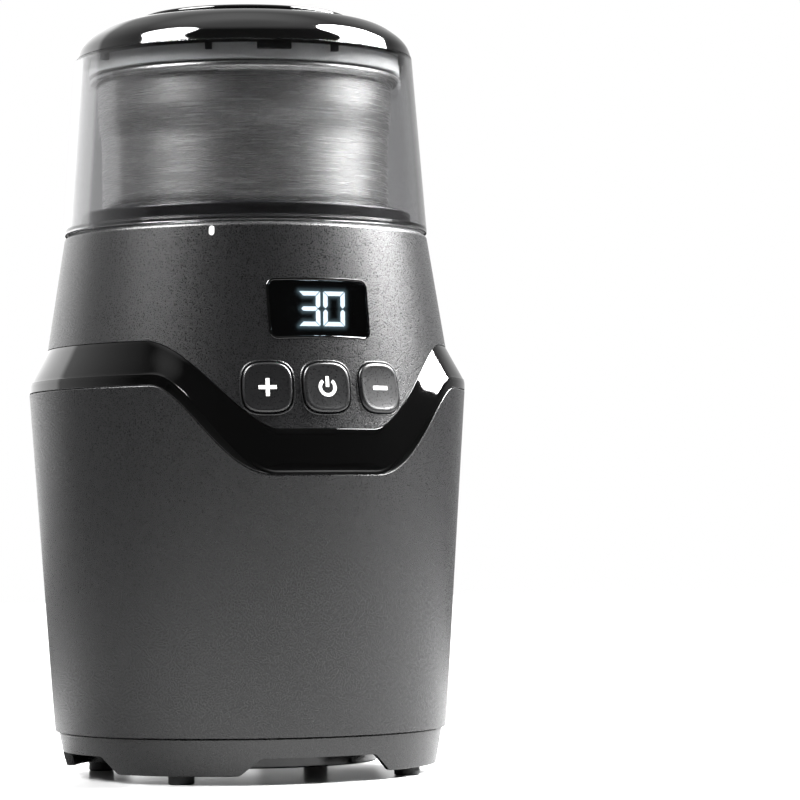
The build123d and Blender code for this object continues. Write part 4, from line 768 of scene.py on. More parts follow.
def ring_of_tree() -> Tree:
    """Builds the tree that copies a piece round the axis.

    Copy i is turned by First + Step * i degrees, and by Swing more or less in turn.

    Returns:
        The tree, with the inputs First, Step, Swing and Count.
    """
    tree, given = geometry_tree("ring_of", ("First", "Step", "Swing"), ("Count",))
    index = add_node(tree, "GeometryNodeInputIndex")
    odd = add_node(tree, MATH, {0: index, 1: 2.0}, operation="MODULO")
    side = add_node(tree, MATH, {0: odd, 1: -2.0, 2: 1.0}, operation="MULTIPLY_ADD")
    swing = add_node(tree, MATH, {0: side, 1: given["Swing"]}, operation="MULTIPLY")
    turn = add_node(tree, MATH, {0: index, 1: given["Step"], 2: given["First"]}, operation="MULTIPLY_ADD")
    degrees = add_node(tree, MATH, {0: turn, 1: swing}, operation="ADD")
    angle = add_node(tree, MATH, {0: degrees}, operation="RADIANS")
    rotation = add_node(tree, "ShaderNodeCombineXYZ", {"Z": angle})
    spots = add_node(tree, "GeometryNodePoints", {"Count": given["Count"]})
    copies = {"Points": spots, "Instance": given["Geometry"], "Rotation": rotation}
    return close_tree(tree, given, add_node(tree, "GeometryNodeInstanceOnPoints", copies))


def seam_ring_tree() -> Tree:
    """Builds the tree that sweeps a section round the case between seams that dip at the front.

    A point of the section is inset in millimetres, level (0 low, 1 mid, 2 high) and lift in
    millimetres. Each level has its height at the sides, its dip, and the cone that its radius is on.

    Returns:
        The tree, with seven inputs for each level, Lip, Shoulder and Around.
    """
    names = [f"{level} {size}" for level in LEVELS for size in LEVEL_SIZES]
    tree, given = geometry_tree("seam_ring", (*names, "Lip", "Shoulder"), ("Around",))
    place = add_node(tree, "GeometryNodeInputPosition")
    section = add_node(tree, "GeometryNodeMeshToCurve", {"Mesh": given["Geometry"]})
    unit = {"Resolution": given["Around"], "Radius": 1.0}
    caught = []
    for curve in (section, add_node(tree, "GeometryNodeCurvePrimitiveCircle", unit)):
        capture = add_node(tree, "GeometryNodeCaptureAttribute")
        capture.capture_items.new("VECTOR", "place")
        tree.links.new(curve.outputs[0], capture.inputs[0])
        tree.links.new(place.outputs[0], capture.inputs[1])
        caught.append(capture)
    sweep = add_node(tree, "GeometryNodeCurveToMesh", {"Curve": caught[1], "Profile Curve": caught[0]})
    inset, level, lift = add_node(tree, "ShaderNodeSeparateXYZ", {0: caught[0].outputs[1]}).outputs
    across, back, _ = add_node(tree, "ShaderNodeSeparateXYZ", {0: caught[1].outputs[1]}).outputs
    front = add_node(tree, MATH, {0: back, 1: -1.0}, operation="MULTIPLY")
    turn = add_node(tree, MATH, {0: across, 1: front}, operation="ARCTAN2")
    degrees = add_node(tree, MATH, {0: turn}, operation="DEGREES")
    angle = add_node(tree, MATH, {0: degrees}, operation="ABSOLUTE")

    heights = []
    for name in LEVELS:
        dip = {"Value": angle, "From Min": given[f"{name} Flat"], "From Max": given[f"{name} Rise"]}
        share = add_node(tree, MAP, dip)
        skewed = add_node(tree, MATH, {0: share, 1: given[f"{name} Skew"]}, operation="POWER")
        side = given[f"{name} Side"]
        bottom = add_node(tree, MATH, {0: side, 1: given[f"{name} Drop"]}, operation="SUBTRACT")
        climb = {"Value": skewed, "To Min": bottom, "To Max": side}
        heights.append(add_node(tree, MAP, climb, interpolation_type="SMOOTHSTEP"))
    lip = given["Lip"]
    floor = add_node(tree, MATH, {0: lip, 1: 0.5, 2: heights[0]}, operation="MULTIPLY_ADD")
    roof = add_node(tree, MATH, {0: heights[2], 1: lip}, operation="SUBTRACT")
    raised = add_node(tree, MATH, {0: heights[1], 1: floor}, operation="MAXIMUM")
    heights[1] = add_node(tree, MATH, {0: raised, 1: roof}, operation="MINIMUM")

    radii = []
    for name, height in zip(LEVELS, heights, strict=True):
        lifted = add_node(tree, MATH, {0: height, 1: lift}, operation="ADD")
        cone = {0: lifted, 1: given[f"{name} Taper"], 2: given[f"{name} Radius"]}
        radii.append(add_node(tree, MATH, cone, operation="MULTIPLY_ADD"))
    radii[1] = add_node(tree, MATH, {0: radii[1], 1: given["Shoulder"]}, operation="MINIMUM")

    upper = add_node(tree, MATH, {0: level, 1: 1.0}, operation="SUBTRACT")
    mixed = []
    for low, mid, high in (heights, radii):
        below = add_node(tree, "ShaderNodeMix", {0: level, 2: low, 3: mid})
        mixed.append(add_node(tree, "ShaderNodeMix", {0: upper, 2: below, 3: high}))
    z = add_node(tree, MATH, {0: mixed[0], 1: lift}, operation="ADD")
    radius = add_node(tree, MATH, {0: mixed[1], 1: inset}, operation="SUBTRACT")
    x = add_node(tree, MATH, {0: radius, 1: across}, operation="MULTIPLY")
    y = add_node(tree, MATH, {0: radius, 1: back}, operation="MULTIPLY")
    spot = add_node(tree, "ShaderNodeCombineXYZ", {0: x, 1: y, 2: z})
    metres = add_node(tree, "ShaderNodeVectorMath", {0: spot, "Scale": MM}, operation="SCALE")
    placed = add_node(tree, "GeometryNodeSetPosition", {"Geometry": sweep, "Position": metres})
    return close_tree(tree, given, placed)


RING_OF = ring_of_tree()
SEAM_RING = seam_ring_tree()


def grown(base: Piece, tree: Tree, slot: Slot, sizes: Mapping[str, float]) -> Piece:
    """Runs a tree on an object and keeps the result as a plain mesh.

    Args:
        base: The object whose mesh goes into the tree.
        tree: The Geometry Nodes tree.
        slot: The slot of the finish that the tree sets.
        sizes: Values of the tree's named inputs.

    Returns:
        The same object.
    """
    modifier = base.modifiers.new(tree.name, "NODES")
    modifier.node_group = tree
    values = {"Material": MATERIALS[slot], **sizes}
    for item in tree.interface.items_tree:
        if item.item_type == "SOCKET" and item.in_out == "INPUT" and item.name in values:
            modifier[item.identifier] = values[item.name]
    base.update_tag()
    bpy.context.view_layer.update()
    return tidy_mesh(applied(base))


def ring_of(
    piece: Piece, slot: Slot, count: int, reach: float = 0, first: float = 0, swing: float = 0
) -> Piece:
    """Repeats a piece evenly round the axis.

    Args:
        piece: The piece, built on the axis or at the front.
        slot: The slot of its finish.
        count: Number of copies.
        reach: How far it is moved from the axis towards the front, in millimetres.
        first: Turn of the first copy, in degrees.
        swing: Turn added to even copies and taken from odd ones.

    Returns:
        The object with all the copies.
    """
    piece.data.transform(Matrix.Translation(FRONT * reach * MM))
    return grown(piece, RING_OF, slot, {"First": first, "Step": 360 / count, "Swing": swing, "Count": count})


@dataclass(frozen=True)
class Seam:
    """A line round the case that dips at the front, and the cone that its radius is on."""

    side: float  # height at the sides and back
    cone: Flat  # radius at the floor's height, and radius gained with height
    drop: float = 0.0
    flat: float = 0.0  # half-angle of the level bottom of the dip
    rise: float = 1.0  # half-angle where the seam is level again
    skew: float = 1.0

    def sizes(self, level: str) -> dict[str, float]:
        """Names the seam's values as the tree's inputs for a level."""
        values = (self.side, self.drop, self.flat, self.rise, self.skew, *self.cone)
        return {f"{level} {size}": value for size, value in zip(LEVEL_SIZES, values, strict=True)}


def rounding(level: float, radius: float, below: bool, steps: int = 5) -> list[Ring]:
    """Rounds an outer edge of a section for the seam tree.

    Args:
        level: The level that the edge is at.
        radius: Its rounding.
        below: True where the wall is below the edge, as at the top of a piece.
        steps: Straight pieces in the rounding.

    Returns:
        Points of inset, level and lift, from the bottom up.
    """
    turns = [math.pi / 2 * i / steps for i in range(steps + 1)]
    if below:
        return [(radius * (1 - math.cos(t)), level, radius * (math.sin(t) - 1)) for t in turns]
    return [(radius * (1 - math.sin(t)), level, radius * (1 - math.cos(t))) for t in turns]


# ---------------------------------------------------------------- the frame
def hand_over(obj: Piece, body: str, slot: Slot, *nodes: str, crease: float = CREASE) -> Piece:
    """Dresses a finished piece and gives it to the frame.

    Large faces lead the shading, so that a wall shades straight up to its rounded edges.

    Args:
        obj: The piece.
        body: The body that it moves with.
        slot: Its material slot.
        *nodes: The CAD nodes that it stands for.
        crease: Sharpest angle between faces that still shades smooth, in degrees.

    Returns:
        The piece.
    """
    weights = tidy_mesh(obj, crease).modifiers.new("weights", "WEIGHTED_NORMAL")
    weights.mode = "FACE_AREA"
    weights.keep_sharp = True
    applied(obj)
    obj.data.materials.clear()
    obj.data.materials.append(MATERIALS[slot])
    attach(obj, body)
    if nodes:
        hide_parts(*nodes)
    LOG.info("%s: %d faces, rides on %s", obj.name, len(obj.data.polygons), body)
    return obj


def low_corner(node: str) -> Vector:
    """Gives a CAD node's lowest corner in millimetres."""
    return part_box(node)[0] / MM


def high_corner(node: str) -> Vector:
    """Gives a CAD node's highest corner in millimetres."""
    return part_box(node)[1] / MM


@dataclass(frozen=True)
class Levels:
    """Heights and radii that the assemblies share, read from the frame."""

    case_low: float = low_corner("lower_shell").z
    case_low_radius: float = 62.0
    band_low: float = high_corner("lower_shell").z + SEAM_GAP
    shoulder: float = high_corner("trim_band").x - INSIDE
    band_high: float = high_corner("trim_band").z
    deck: float = high_corner("upper_shell").z
    deck_radius: float = 57.7
    collar_top: float = high_corner("bowl_collar").z
    collar_radius: float = high_corner("bowl_collar").x
    rim: float = high_corner("bowl_cup").z
    rim_radius: float = high_corner("bowl_cup").x
    lid_low: float = low_corner("lid_cover").z
    lid_radius: float = high_corner("lid_cover").x
    lid_high: float = high_corner("lid_cover").z
    lid_high_radius: float = high_corner("lid_cap").x
    top: float = high_corner("lid_disc").z
    skirt_low: float = low_corner("base_skirt").z
    skirt_radius: float = high_corner("base_skirt").x


LEVEL = Levels()


# ---------------------------------------------------------------- case
@dataclass
class Case:
    """The lower body, the gloss band and the upper body, with the white mark on its edge."""

    wall: float = 2.4
    least_rise: float = 0.65  # least height that the ridge keeps under the band's upper edge
    seam_drop: float = 27.4
    upper_dip: Ring = (13.4, 51.0, 0.85)  # half-angle of the level bottom, of the level sides, skew
    ridge_dip: Ring = (13.5, 46.0, 1.05)
    lower_dip: Ring = (13.5, 46.5, 1.22)
    ridge_drop: float = 29.8  # more than the seams, so that the ridge runs out into the lip in the dip
    ridge_lift: float = 2.7  # ridge above the band's lower edge
    ridge_stand: float = 0.18  # how far the upper cone's foot stands out past the ridge in front
    ridge_round: float = 0.5
    ridge_bevel: tuple[Flat, ...] = ((0.02, 1.0), (0.07, 1.0), (0.02, 1.03))  # inset and level
    flare_bow: float = 0.03  # how far the flare bows out low down and in high up
    flare_steps: int = 14
    edge_round: float = 0.35
    band_round: float = 0.175
    foot_round: float = 0.07  # upper body's lower edge
    deck_round: float = 1.4
    deck_thickness: float = 2.6
    deck_inner: float = 47.0
    flange_reach: float = 10.0
    post_radius: float = 4.2
    post_hole: float = 1.6
    post_circle: float = 53.5
    post_top: float = 88.0
    post_share: float = 0.6  # how far the upper posts reach from the band to the deck
    mark_angle: float = -31.6
    mark_size: Flat = (1.6, 2.9)
    mark_rise: float = 0.3
    mark_root: float = 0.4
    mark_round: float = 0.12

    def __post_init__(self) -> None:
        """Works out the cones and the ridge's height from the frame."""
        taper = (LEVEL.shoulder - LEVEL.case_low_radius) / (LEVEL.band_low - LEVEL.case_low)
        self.ridge = LEVEL.band_low + self.ridge_lift
        front_ridge = LEVEL.case_low_radius + (self.ridge - self.seam_drop - LEVEL.case_low) * taper
        foot = front_ridge + self.ridge_stand
        self.lower_cone = (LEVEL.case_low_radius - LEVEL.case_low * taper, taper)
        taper = (foot - LEVEL.deck_radius) / (LEVEL.deck - LEVEL.band_high + self.seam_drop)
        self.upper_cone = (LEVEL.deck_radius + LEVEL.deck * taper, -taper)
        self.cone = Cone(LEVEL.deck_radius, LEVEL.deck, taper)

    def seam(self, side: float, dip: Ring, cone: Flat) -> Seam:
        """Gives a dipping seam from its height at the sides, its dip and its cone."""
        return Seam(side, cone, self.seam_drop, *dip)

    def ring(self, name: str, section: Sequence[Ring], slot: Slot, seams: Sequence[Seam]) -> Piece:
        """Sweeps a section round the case between three seams.

        Args:
            name: The object's name.
            section: Inset, level and lift of each point of the closed section.
            slot: Its material slot.
            seams: The low, mid and high seam.

        Returns:
            The new object.
        """
        mesh = bpy.data.meshes.new(name)
        mesh.from_pydata(section, [(i, (i + 1) % len(section)) for i in range(len(section))], [])
        sizes: dict[str, float] = {"Lip": self.least_rise, "Shoulder": LEVEL.shoulder, "Around": ROUND}
        for level, seam in zip(LEVELS, seams, strict=True):
            sizes |= seam.sizes(level)
        return grown(linked(name, mesh), SEAM_RING, slot, sizes)

    def posts(self, low: float, high: float) -> Piece:
        """Makes the four tubular screw posts between two heights."""
        post = lathe("post", tube(self.post_hole, self.post_radius, low, high), count=32)
        return ring_of(post, Slot.MATT_CASE, 4, reach=self.post_circle, first=45)

    def build_lower(self) -> None:
        """Builds the tapered lower body with its flange and posts."""
        flat = Seam(LEVEL.case_low, self.lower_cone)
        top = self.seam(LEVEL.band_low - SEAM_GAP, self.lower_dip, self.lower_cone)
        section = [
            (self.flange_reach, 0, self.wall),
            (self.flange_reach, 0, 0),
            *rounding(0, self.edge_round, below=False),
            *rounding(2, self.edge_round, below=True),
            (self.wall, 2, 0),
            (self.wall, 0, self.wall),
        ]
        body = self.ring("lower_body", section, Slot.MATT_CASE, (flat, flat, top))
        whole = joined("lower_body", [body, self.posts(LEVEL.case_low + self.wall / 2, self.post_top)])
        hand_over(whole, "root", Slot.MATT_CASE, "lower_shell")

    def build_band(self) -> None:
        """Builds the gloss band: a short lip, a crisp ridge and a flare that narrows to the upper body."""
        seams = (
            self.seam(LEVEL.band_low, self.lower_dip, self.lower_cone),
            Seam(self.ridge, self.lower_cone, self.ridge_drop, *self.ridge_dip),
            self.seam(LEVEL.band_high, self.upper_dip, self.upper_cone),
        )
        shares = [i / self.flare_steps for i in range(1, self.flare_steps)]
        soft = self.ridge_round
        bevel = zip(self.ridge_bevel, (-soft / 2, 0.0, soft / 2), strict=True)
        section = [
            (self.wall, 0, 0),
            *rounding(0, self.band_round, below=False),
            (0.0, 1, -soft),
            *[(inset, level, lift) for (inset, level), lift in bevel],
            *[(-self.flare_bow * math.sin(2 * math.pi * share), 1 + share, 0.0) for share in shares],
            *rounding(2, self.band_round, below=True),
            (self.wall, 2, 0),
            (self.wall, 1, -self.wall / 2),
        ]
        band = self.ring("gloss_band", section, Slot.GLOSS_BLACK, seams)
        hand_over(band, "root", Slot.GLOSS_BLACK, "trim_band", crease=25.0)

    def build_upper(self, holes: Sequence[Piece], surrounds: Sequence[Piece]) -> None:
        """Builds the upper body with its deck.

        Args:
            holes: Solids of the openings for display and buttons.
            surrounds: Fine raised lines round the buttons, which are part of the moulding.
        """
        low = self.seam(LEVEL.band_high + SEAM_GAP, self.upper_dip, self.upper_cone)
        flat = Seam(LEVEL.deck, self.upper_cone)
        inner = LEVEL.deck_radius - self.deck_inner
        section = [
            (self.wall, 0, 0),
            *rounding(0, self.foot_round, below=False),
            *rounding(2, self.deck_round, below=True, steps=8),
            (inner - self.edge_round, 2, 0),
            (inner, 2, -self.edge_round),
            (inner, 2, -self.deck_thickness),
            (self.wall, 2, -self.deck_thickness),
        ]
        body = self.ring("upper_body", section, Slot.MATT_CASE, (low, flat, flat))
        for hole in holes:
            cut(body, hole)
        top = LEVEL.band_high + self.post_share * (LEVEL.deck - LEVEL.band_high)
        whole = joined("upper_body", [body, self.posts(self.post_top + PLAY, top), *surrounds])
        hand_over(whole, "root", Slot.MATT_CASE, "upper_shell")

    def build_mark(self) -> None:
        """Builds the raised white pill that the bowl's arrow turns to."""
        width, height = self.mark_size
        face = self.cone.face(self.mark_angle, LEVEL.deck - self.deck_round - height / 2)
        shape = Outline(width, height, width / 2 - 0.01, step=0.4)
        rise, root, soft = self.mark_rise, self.mark_root, self.mark_round
        back = [(0.3, 0.0, -root), (0.3, 1.0, -root), (0.0, 1.0, -root)]
        rings = [*back, (0.0, 1.0, rise - soft), (soft, 1.0, rise), (0.5, 1.0, rise), (0.5, 0.0, rise)]
        mark = pad("white_mark", self.cone, face, shape, rings)
        hand_over(mark, "root", Slot.PRINT_WHITE, "alignment_mark")


# ---------------------------------------------------------------- display
@dataclass
class Display:
    """The bezel, the dark lens and the lit digits behind it."""

    cone: Cone
    window: Outline = Outline(31.6, 17.3, 1.8)
    height: float = 144.0
    hole_depth: float = 9.0
    hole_rise: float = 6.0
    bezel_width: float = 0.8
    bezel_rise: float = 0.2
    bezel_round: float = 0.12
    bezel_gap: float = 0.03  # to the hole
    recess: float = 0.25
    lens_gap: float = 0.05  # to the bezel
    lens_edge: float = 0.1
    lens_rings: tuple[float, ...] = (0.9, 0.75, 0.6, 0.45, 0.3, 0.15)
    wall: float = 2.4
    digit: Flat = (6.9, 10.6)
    pitch: float = 8.0
    shift: float = 2.6
    stroke: float = 1.3
    mitre: float = 0.22
    # glow_reach, glow_step and glow_strength size the painted glow, as emission, on the module's face round
    # each segment
    glow_reach: float = 0.8  # how far the light spreads round a segment
    glow_step: float = 0.22
    glow_strength: float = 1.6
    digits: tuple[str, ...] = ("three", "nought")

    def __post_init__(self) -> None:
        """Places the display's face on the cone."""
        self.face = self.cone.face(0, self.height)
        edge = 2 * self.bezel_width
        window = self.window
        self.bezel = Outline(window.width + edge, window.height + edge, window.corner + self.bezel_width)
        self.front = low_corner("display_digits").y

    def hole(self) -> Piece:
        """Gives the solid of the opening in the upper body."""
        return prism("display_hole", self.face, self.bezel.points(), -self.hole_depth, self.hole_rise)

    def build_bezel(self) -> None:
        """Builds the thin gloss frame round the lens."""
        width, rise, gap = self.bezel_width, self.bezel_rise, self.bezel_gap
        insets = (gap, gap, gap + self.bezel_round, width - 0.3, width - 0.1, width - 0.02)
        lifts = (-self.wall, rise - self.bezel_round, rise, rise, rise - 0.1, -self.wall)
        rings = [(inset, 1.0, lift) for inset, lift in zip(insets, lifts, strict=True)]
        bezel = pad("display_frame", self.cone, self.face, self.bezel, rings, cyclic=True)
        hand_over(bezel, "root", Slot.GLOSS_BLACK, "display_bezel")

    def build_lens(self) -> None:
        """Builds the dark lens, which follows the cone a little below the frame."""
        top, low, gap = -self.recess, -self.wall, self.lens_gap
        rings = [
            (gap, 0.0, low),
            *[(gap, scale, low) for scale in reversed(self.lens_rings)],
            (gap, 1.0, low),
            (gap, 1.0, top - self.lens_edge),
            (0.12, 1.0, top),
            *[(gap, scale, top) for scale in self.lens_rings],
            (gap, 0.0, top),
        ]
        lens = pad("display_lens", self.cone, self.face, self.window, rings)
        hand_over(lens, "root", Slot.DISPLAY_LENS, "display_window")

    def segments(self) -> dict[str, list[Flat]]:
        """Gives the mitred outlines of the seven segments about their digit's middle."""
        a, b, t, g = self.digit[0] / 2, self.digit[1] / 2, self.stroke, self.mitre
        half = t / 2
        top = [(-a + g, b), (a - g, b), (a - g - t, b - t), (-a + g + t, b - t)]
        right = [(a, b - g), (a, g + half), (a - half, g), (a - t, g + half), (a - t, b - g - t)]
        upper = [(-a + half + g, 0.0), (-a + t + g, half), (a - t - g, half)]
        return {
            "top": top,
            "bottom": [(x, -y) for x, y in top],
            "middle": upper + [(-x, -y) for x, y in upper],
            "upper_right": right,
            "lower_right": [(x, -y) for x, y in right],
            "upper_left": [(-x, y) for x, y in right],
            "lower_left": [(-x, -y) for x, y in right],
        }

    def lit(self) -> list[list[Flat]]:
        """Gives the outlines of all lit segments on the module's face."""
        right = ("upper_right", "lower_right")
        names = {
            "three": ("top", "middle", "bottom", *right),
            "nought": ("top", "bottom", "upper_left", "lower_left", *right),
        }
        segments = self.segments()
        shapes = []
        for place, digit in enumerate(self.digits):
            middle = self.shift + (place - 0.5) * self.pitch
            shapes += [[(x + middle, y) for x, y in segments[name]] for name in names[digit]]
        return shapes

    def build_digits(self) -> None:
        """Builds the lit segments on the face of the display module."""
        depth = high_corner("display_digits").y - self.front
        face = matrix_of(RIGHT, UP, FRONT, Vector((0, self.front, self.height)))
        bars = [prism("segment", face, shape, -depth, 0.0) for shape in self.lit()]
        hand_over(joined("lit_digits", bars), "root", Slot.LIT_WHITE, "display_digits")

    def painted_glow(self, spot: Vector, shapes: Sequence[Sequence[Flat]]) -> float:
        """Gives the share of painted glow that spreads from the segments to a place on the module."""
        nearest = math.inf
        for shape in shapes:
            for start, end in zip(shape, [*shape[1:], shape[0]], strict=True):
                a, b = Vector(start), Vector(end)
                along = max(0.0, min(1.0, (spot - a).dot(b - a) / (b - a).length_squared))
                nearest = min(nearest, (spot - a - (b - a) * along).length)
        return math.exp(-((nearest / self.glow_reach) ** 2))

    def build_module(self) -> None:
        """Builds the black module, whose face has a painted glow round each segment."""
        low, high = low_corner("display_module"), high_corner("display_module")
        half_width, half_height = (high.x - low.x) / 2, (high.z - low.z) / 2
        middle = (low.z + high.z) / 2
        face = matrix_of(RIGHT, UP, FRONT, Vector((0, low.y, middle)))
        across, up = (math.ceil(2 * half / self.glow_step) for half in (half_width, half_height))
        grid = [
            (-half_width + 2 * half_width * i / across, -half_height + 2 * half_height * j / up)
            for j in range(up + 1)
            for i in range(across + 1)
        ]
        rows = [[j * (across + 1) + i for i in range(across + 1)] for j in range(up + 1)]
        faces = []
        for below, above in zip(rows, rows[1:], strict=False):
            faces += [[a, b, d, c] for a, b, c, d in zip(below, below[1:], above, above[1:], strict=False)]
        right, left = [row[-1] for row in rows[1:]], [row[0] for row in rows[-2:0:-1]]
        rim = rows[0] + right + rows[-1][-2::-1] + left
        first = len(grid)
        back = [(*grid[i], low.y - high.y) for i in rim]
        points = [face @ Vector(spot) for spot in [*[(x, y, 0) for x, y in grid], *back]]
        for k, number in enumerate(rim):
            after = (k + 1) % len(rim)
            faces.append([number, first + k, first + after, rim[after]])
        faces.append(list(range(first, len(points))))
        module = mesh_object("display_module_block", points, faces)
        shapes = self.lit()
        # painted glow: how strongly the module's face emits light at each point near a segment
        painted_glow = module.data.attributes.new("painted_glow", "FLOAT", "POINT")
        for i, (x, y) in enumerate(grid):
            painted_glow.data[i].value = self.painted_glow(Vector((x, y + middle - self.height)), shapes)
        hand_over(module, "root", Slot.SATIN_BLACK, "display_module")
        module.data.materials[0] = self.painted_glow_material()

    def painted_glow_material(self) -> bpy.types.Material:
        """Builds the module's black plastic with a painted blue-grey glow where the segments' light spreads.
        """
        material = bpy.data.materials.new("display_module_black_plastic")
        tree = emptied(material)
        grain = Grain(0.4, tone=0.2).value(tree, add_node(tree, "ShaderNodeTexCoord").outputs["Object"])
        rough = add_node(tree, MAP, {"Value": grain, "To Min": 0.45, "To Max": 0.6})
        spread = add_node(tree, "ShaderNodeAttribute", attribute_name="painted_glow").outputs["Fac"]
        # strength of the painted glow, as emission on the black plastic
        light = add_node(tree, MATH, {0: spread, 1: self.glow_strength}, operation="MULTIPLY")
        colours = {"Base Color": linear("#0a0a0b"), "Emission Color": linear("#8fa9b0")}
        values = {**colours, "Roughness": rough, "Emission Strength": light}
        shader = add_node(tree, "ShaderNodeBsdfPrincipled", values)
        add_node(tree, "ShaderNodeOutputMaterial", {"Surface": shader})
        return material


# ---------------------------------------------------------------- buttons
class Sign(Enum):
    """What a button's print says."""

    PLUS = "plus"
    POWER = "power"
    MINUS = "minus"


@dataclass
class PushButton:
    """One squircle push button with a rounded rim, a dished face and a white sign."""

    cone: Cone
    sign: Sign
    angle: float
    shape: Outline = Outline(15.2, 15.4, 5.6, squareness=3.1)
    height: float = 119.6
    hole_depth: float = 8.0
    hole_rise: float = 6.0
    line: tuple[Flat, ...] = (  # outset and lift of the raised line round the hole
        (0.02, -0.8), (0.02, 0.1), (0.14, 0.2), (0.34, 0.2), (0.5, 0.08), (0.62, -0.15), (0.62, -0.8)
    )
    depth: float = 4.4
    rise: float = 0.9
    side: float = 1.5  # depth of the straight side under the rim
    rim_round: float = 0.75
    rim_top: tuple[Flat, ...] = ((1.05, 0.0), (1.3, 0.04))  # inset and sink of the rim's crown
    face_inset: float = 1.55
    face_sink: float = 0.08
    face_rings: tuple[float, ...] = (1.0, 0.94, 0.87, 0.8, 0.7, 0.58, 0.44, 0.3, 0.16)
    dish: float = 0.2
    dish_power: float = 2.4
    stem_radius: float = 2.0
    stem_edge: float = 0.3
    sign_size: float = 5.5
    stroke: float = 1.2
    power_stroke: float = 0.85  # times the stroke
    power_opening: float = 38.0  # half-angle of the gap in the power sign's ring
    print_height: float = 0.06
    print_root: float = 0.3

    def __post_init__(self) -> None:
        """Places the button's face on the cone and names it for its node and body."""
        self.face = self.cone.face(self.angle, self.height)
        self.name = f"{self.sign.value}_button"

    def hole(self) -> Piece:
        """Gives the solid of the button's opening in the upper body."""
        shape = self.shape.points(-PLAY)
        return prism(f"{self.name}_hole", self.face, shape, -self.hole_depth, self.hole_rise)

    def surround(self) -> Piece:
        """Gives the fine raised line of the moulding round the opening."""
        rings = [(-PLAY - outset, 1.0, lift) for outset, lift in self.line]
        return pad(f"{self.name}_surround", self.cone, self.face, self.shape, rings, cyclic=True)

    def face_lift(self, share: float) -> float:
        """Gives the lift of the dished face at a share of the way from its middle to the rim."""
        return self.rise - self.dish * (1 - min(share, 1.0) ** self.dish_power) - self.face_sink

    def stem_end(self) -> float:
        """Gives the lift of the end of the stem that the button's node has behind its face."""
        inverse = self.face.inverted()
        return min((inverse @ (v.co / MM)).z for v in frame["nodes"][self.name].data.vertices)

    def build_cap(self) -> None:
        """Builds the button's cap and the stem behind it."""
        soft, rise, low = self.rim_round, self.rise, -self.depth
        turns = [math.pi / 2 * i / 6 for i in range(7)]
        rings = [
            (1.0, 0.0, low),
            (1.0, 0.5, low),
            (0.4, 1.0, low),
            (0.0, 1.0, low + 0.4),
            (0.0, 1.0, -self.side),
            *[(soft * (1 - math.cos(t)), 1.0, rise - soft + soft * math.sin(t)) for t in turns],
            *[(inset, 1.0, rise - sink) for inset, sink in self.rim_top],
            *[(self.face_inset, share, self.face_lift(share)) for share in (*self.face_rings, 0.0)],
        ]
        cap = pad(f"{self.name}_cap", self.cone, self.face, self.shape, rings)
        end, radius, edge = self.stem_end(), self.stem_radius, self.stem_edge
        profile = [(0, end), (radius - edge, end), (radius, end + edge), (radius, low + 1), (0, low + 1)]
        post = lathe("stem", profile, count=32)
        turned = self.face.copy()
        turned.translation = turned.translation * MM
        post.data.transform(turned)
        hand_over(joined(f"{self.name}_cap", [cap, post]), self.name, Slot.BUTTON_BLACK, self.name)

    def outlines(self) -> list[list[Flat]]:
        """Gives the outlines of the sign on the button's face."""
        a, s = self.sign_size / 2, self.stroke / 2
        bar = [(-a, -s), (a, -s), (a, s), (-a, s)]
        if self.sign is Sign.MINUS:
            return [bar]
        if self.sign is Sign.PLUS:
            return [bar, [(-s, s), (s, s), (s, a), (-s, a)], [(-s, -a), (s, -a), (s, -s), (-s, -s)]]
        outer, opening, steps = a + 0.15, self.power_opening, 40
        inner = outer - self.power_stroke * self.stroke
        turns = [math.radians(opening + (360 - 2 * opening) * i / steps) for i in range(steps + 1)]
        ring = [(outer * math.sin(t), outer * math.cos(t)) for t in turns]
        ring += [(inner * math.sin(t), inner * math.cos(t)) for t in reversed(turns)]
        half, high = 0.9 * s, outer + 0.45
        return [ring, [(-half, 0.1), (half, 0.1), (half, high), (-half, high)]]

    def build_sign(self) -> None:
        """Builds the white print on the dished face."""
        parts = []
        reach = self.shape.width / 2 - self.face_inset
        for outline in self.outlines():
            points: list[Vector] = []
            for start, end in zip(outline, [*outline[1:], outline[0]], strict=True):
                run = max(1, round(math.dist(start, end) / 0.5))
                points += [Vector(start).lerp(Vector(end), i / run) for i in range(run)]
            loops = []
            for extra in (-self.print_root, self.print_height):
                lifts = [self.face_lift(p.length / reach) + extra for p in points]
                spots = zip(points, lifts, strict=True)
                loops.append([self.cone.on(self.face, *p, lift) for p, lift in spots])
            parts.append(skin("print", loops))
        hand_over(joined(f"{self.sign.value}_sign", parts), self.name, Slot.PRINT_WHITE)


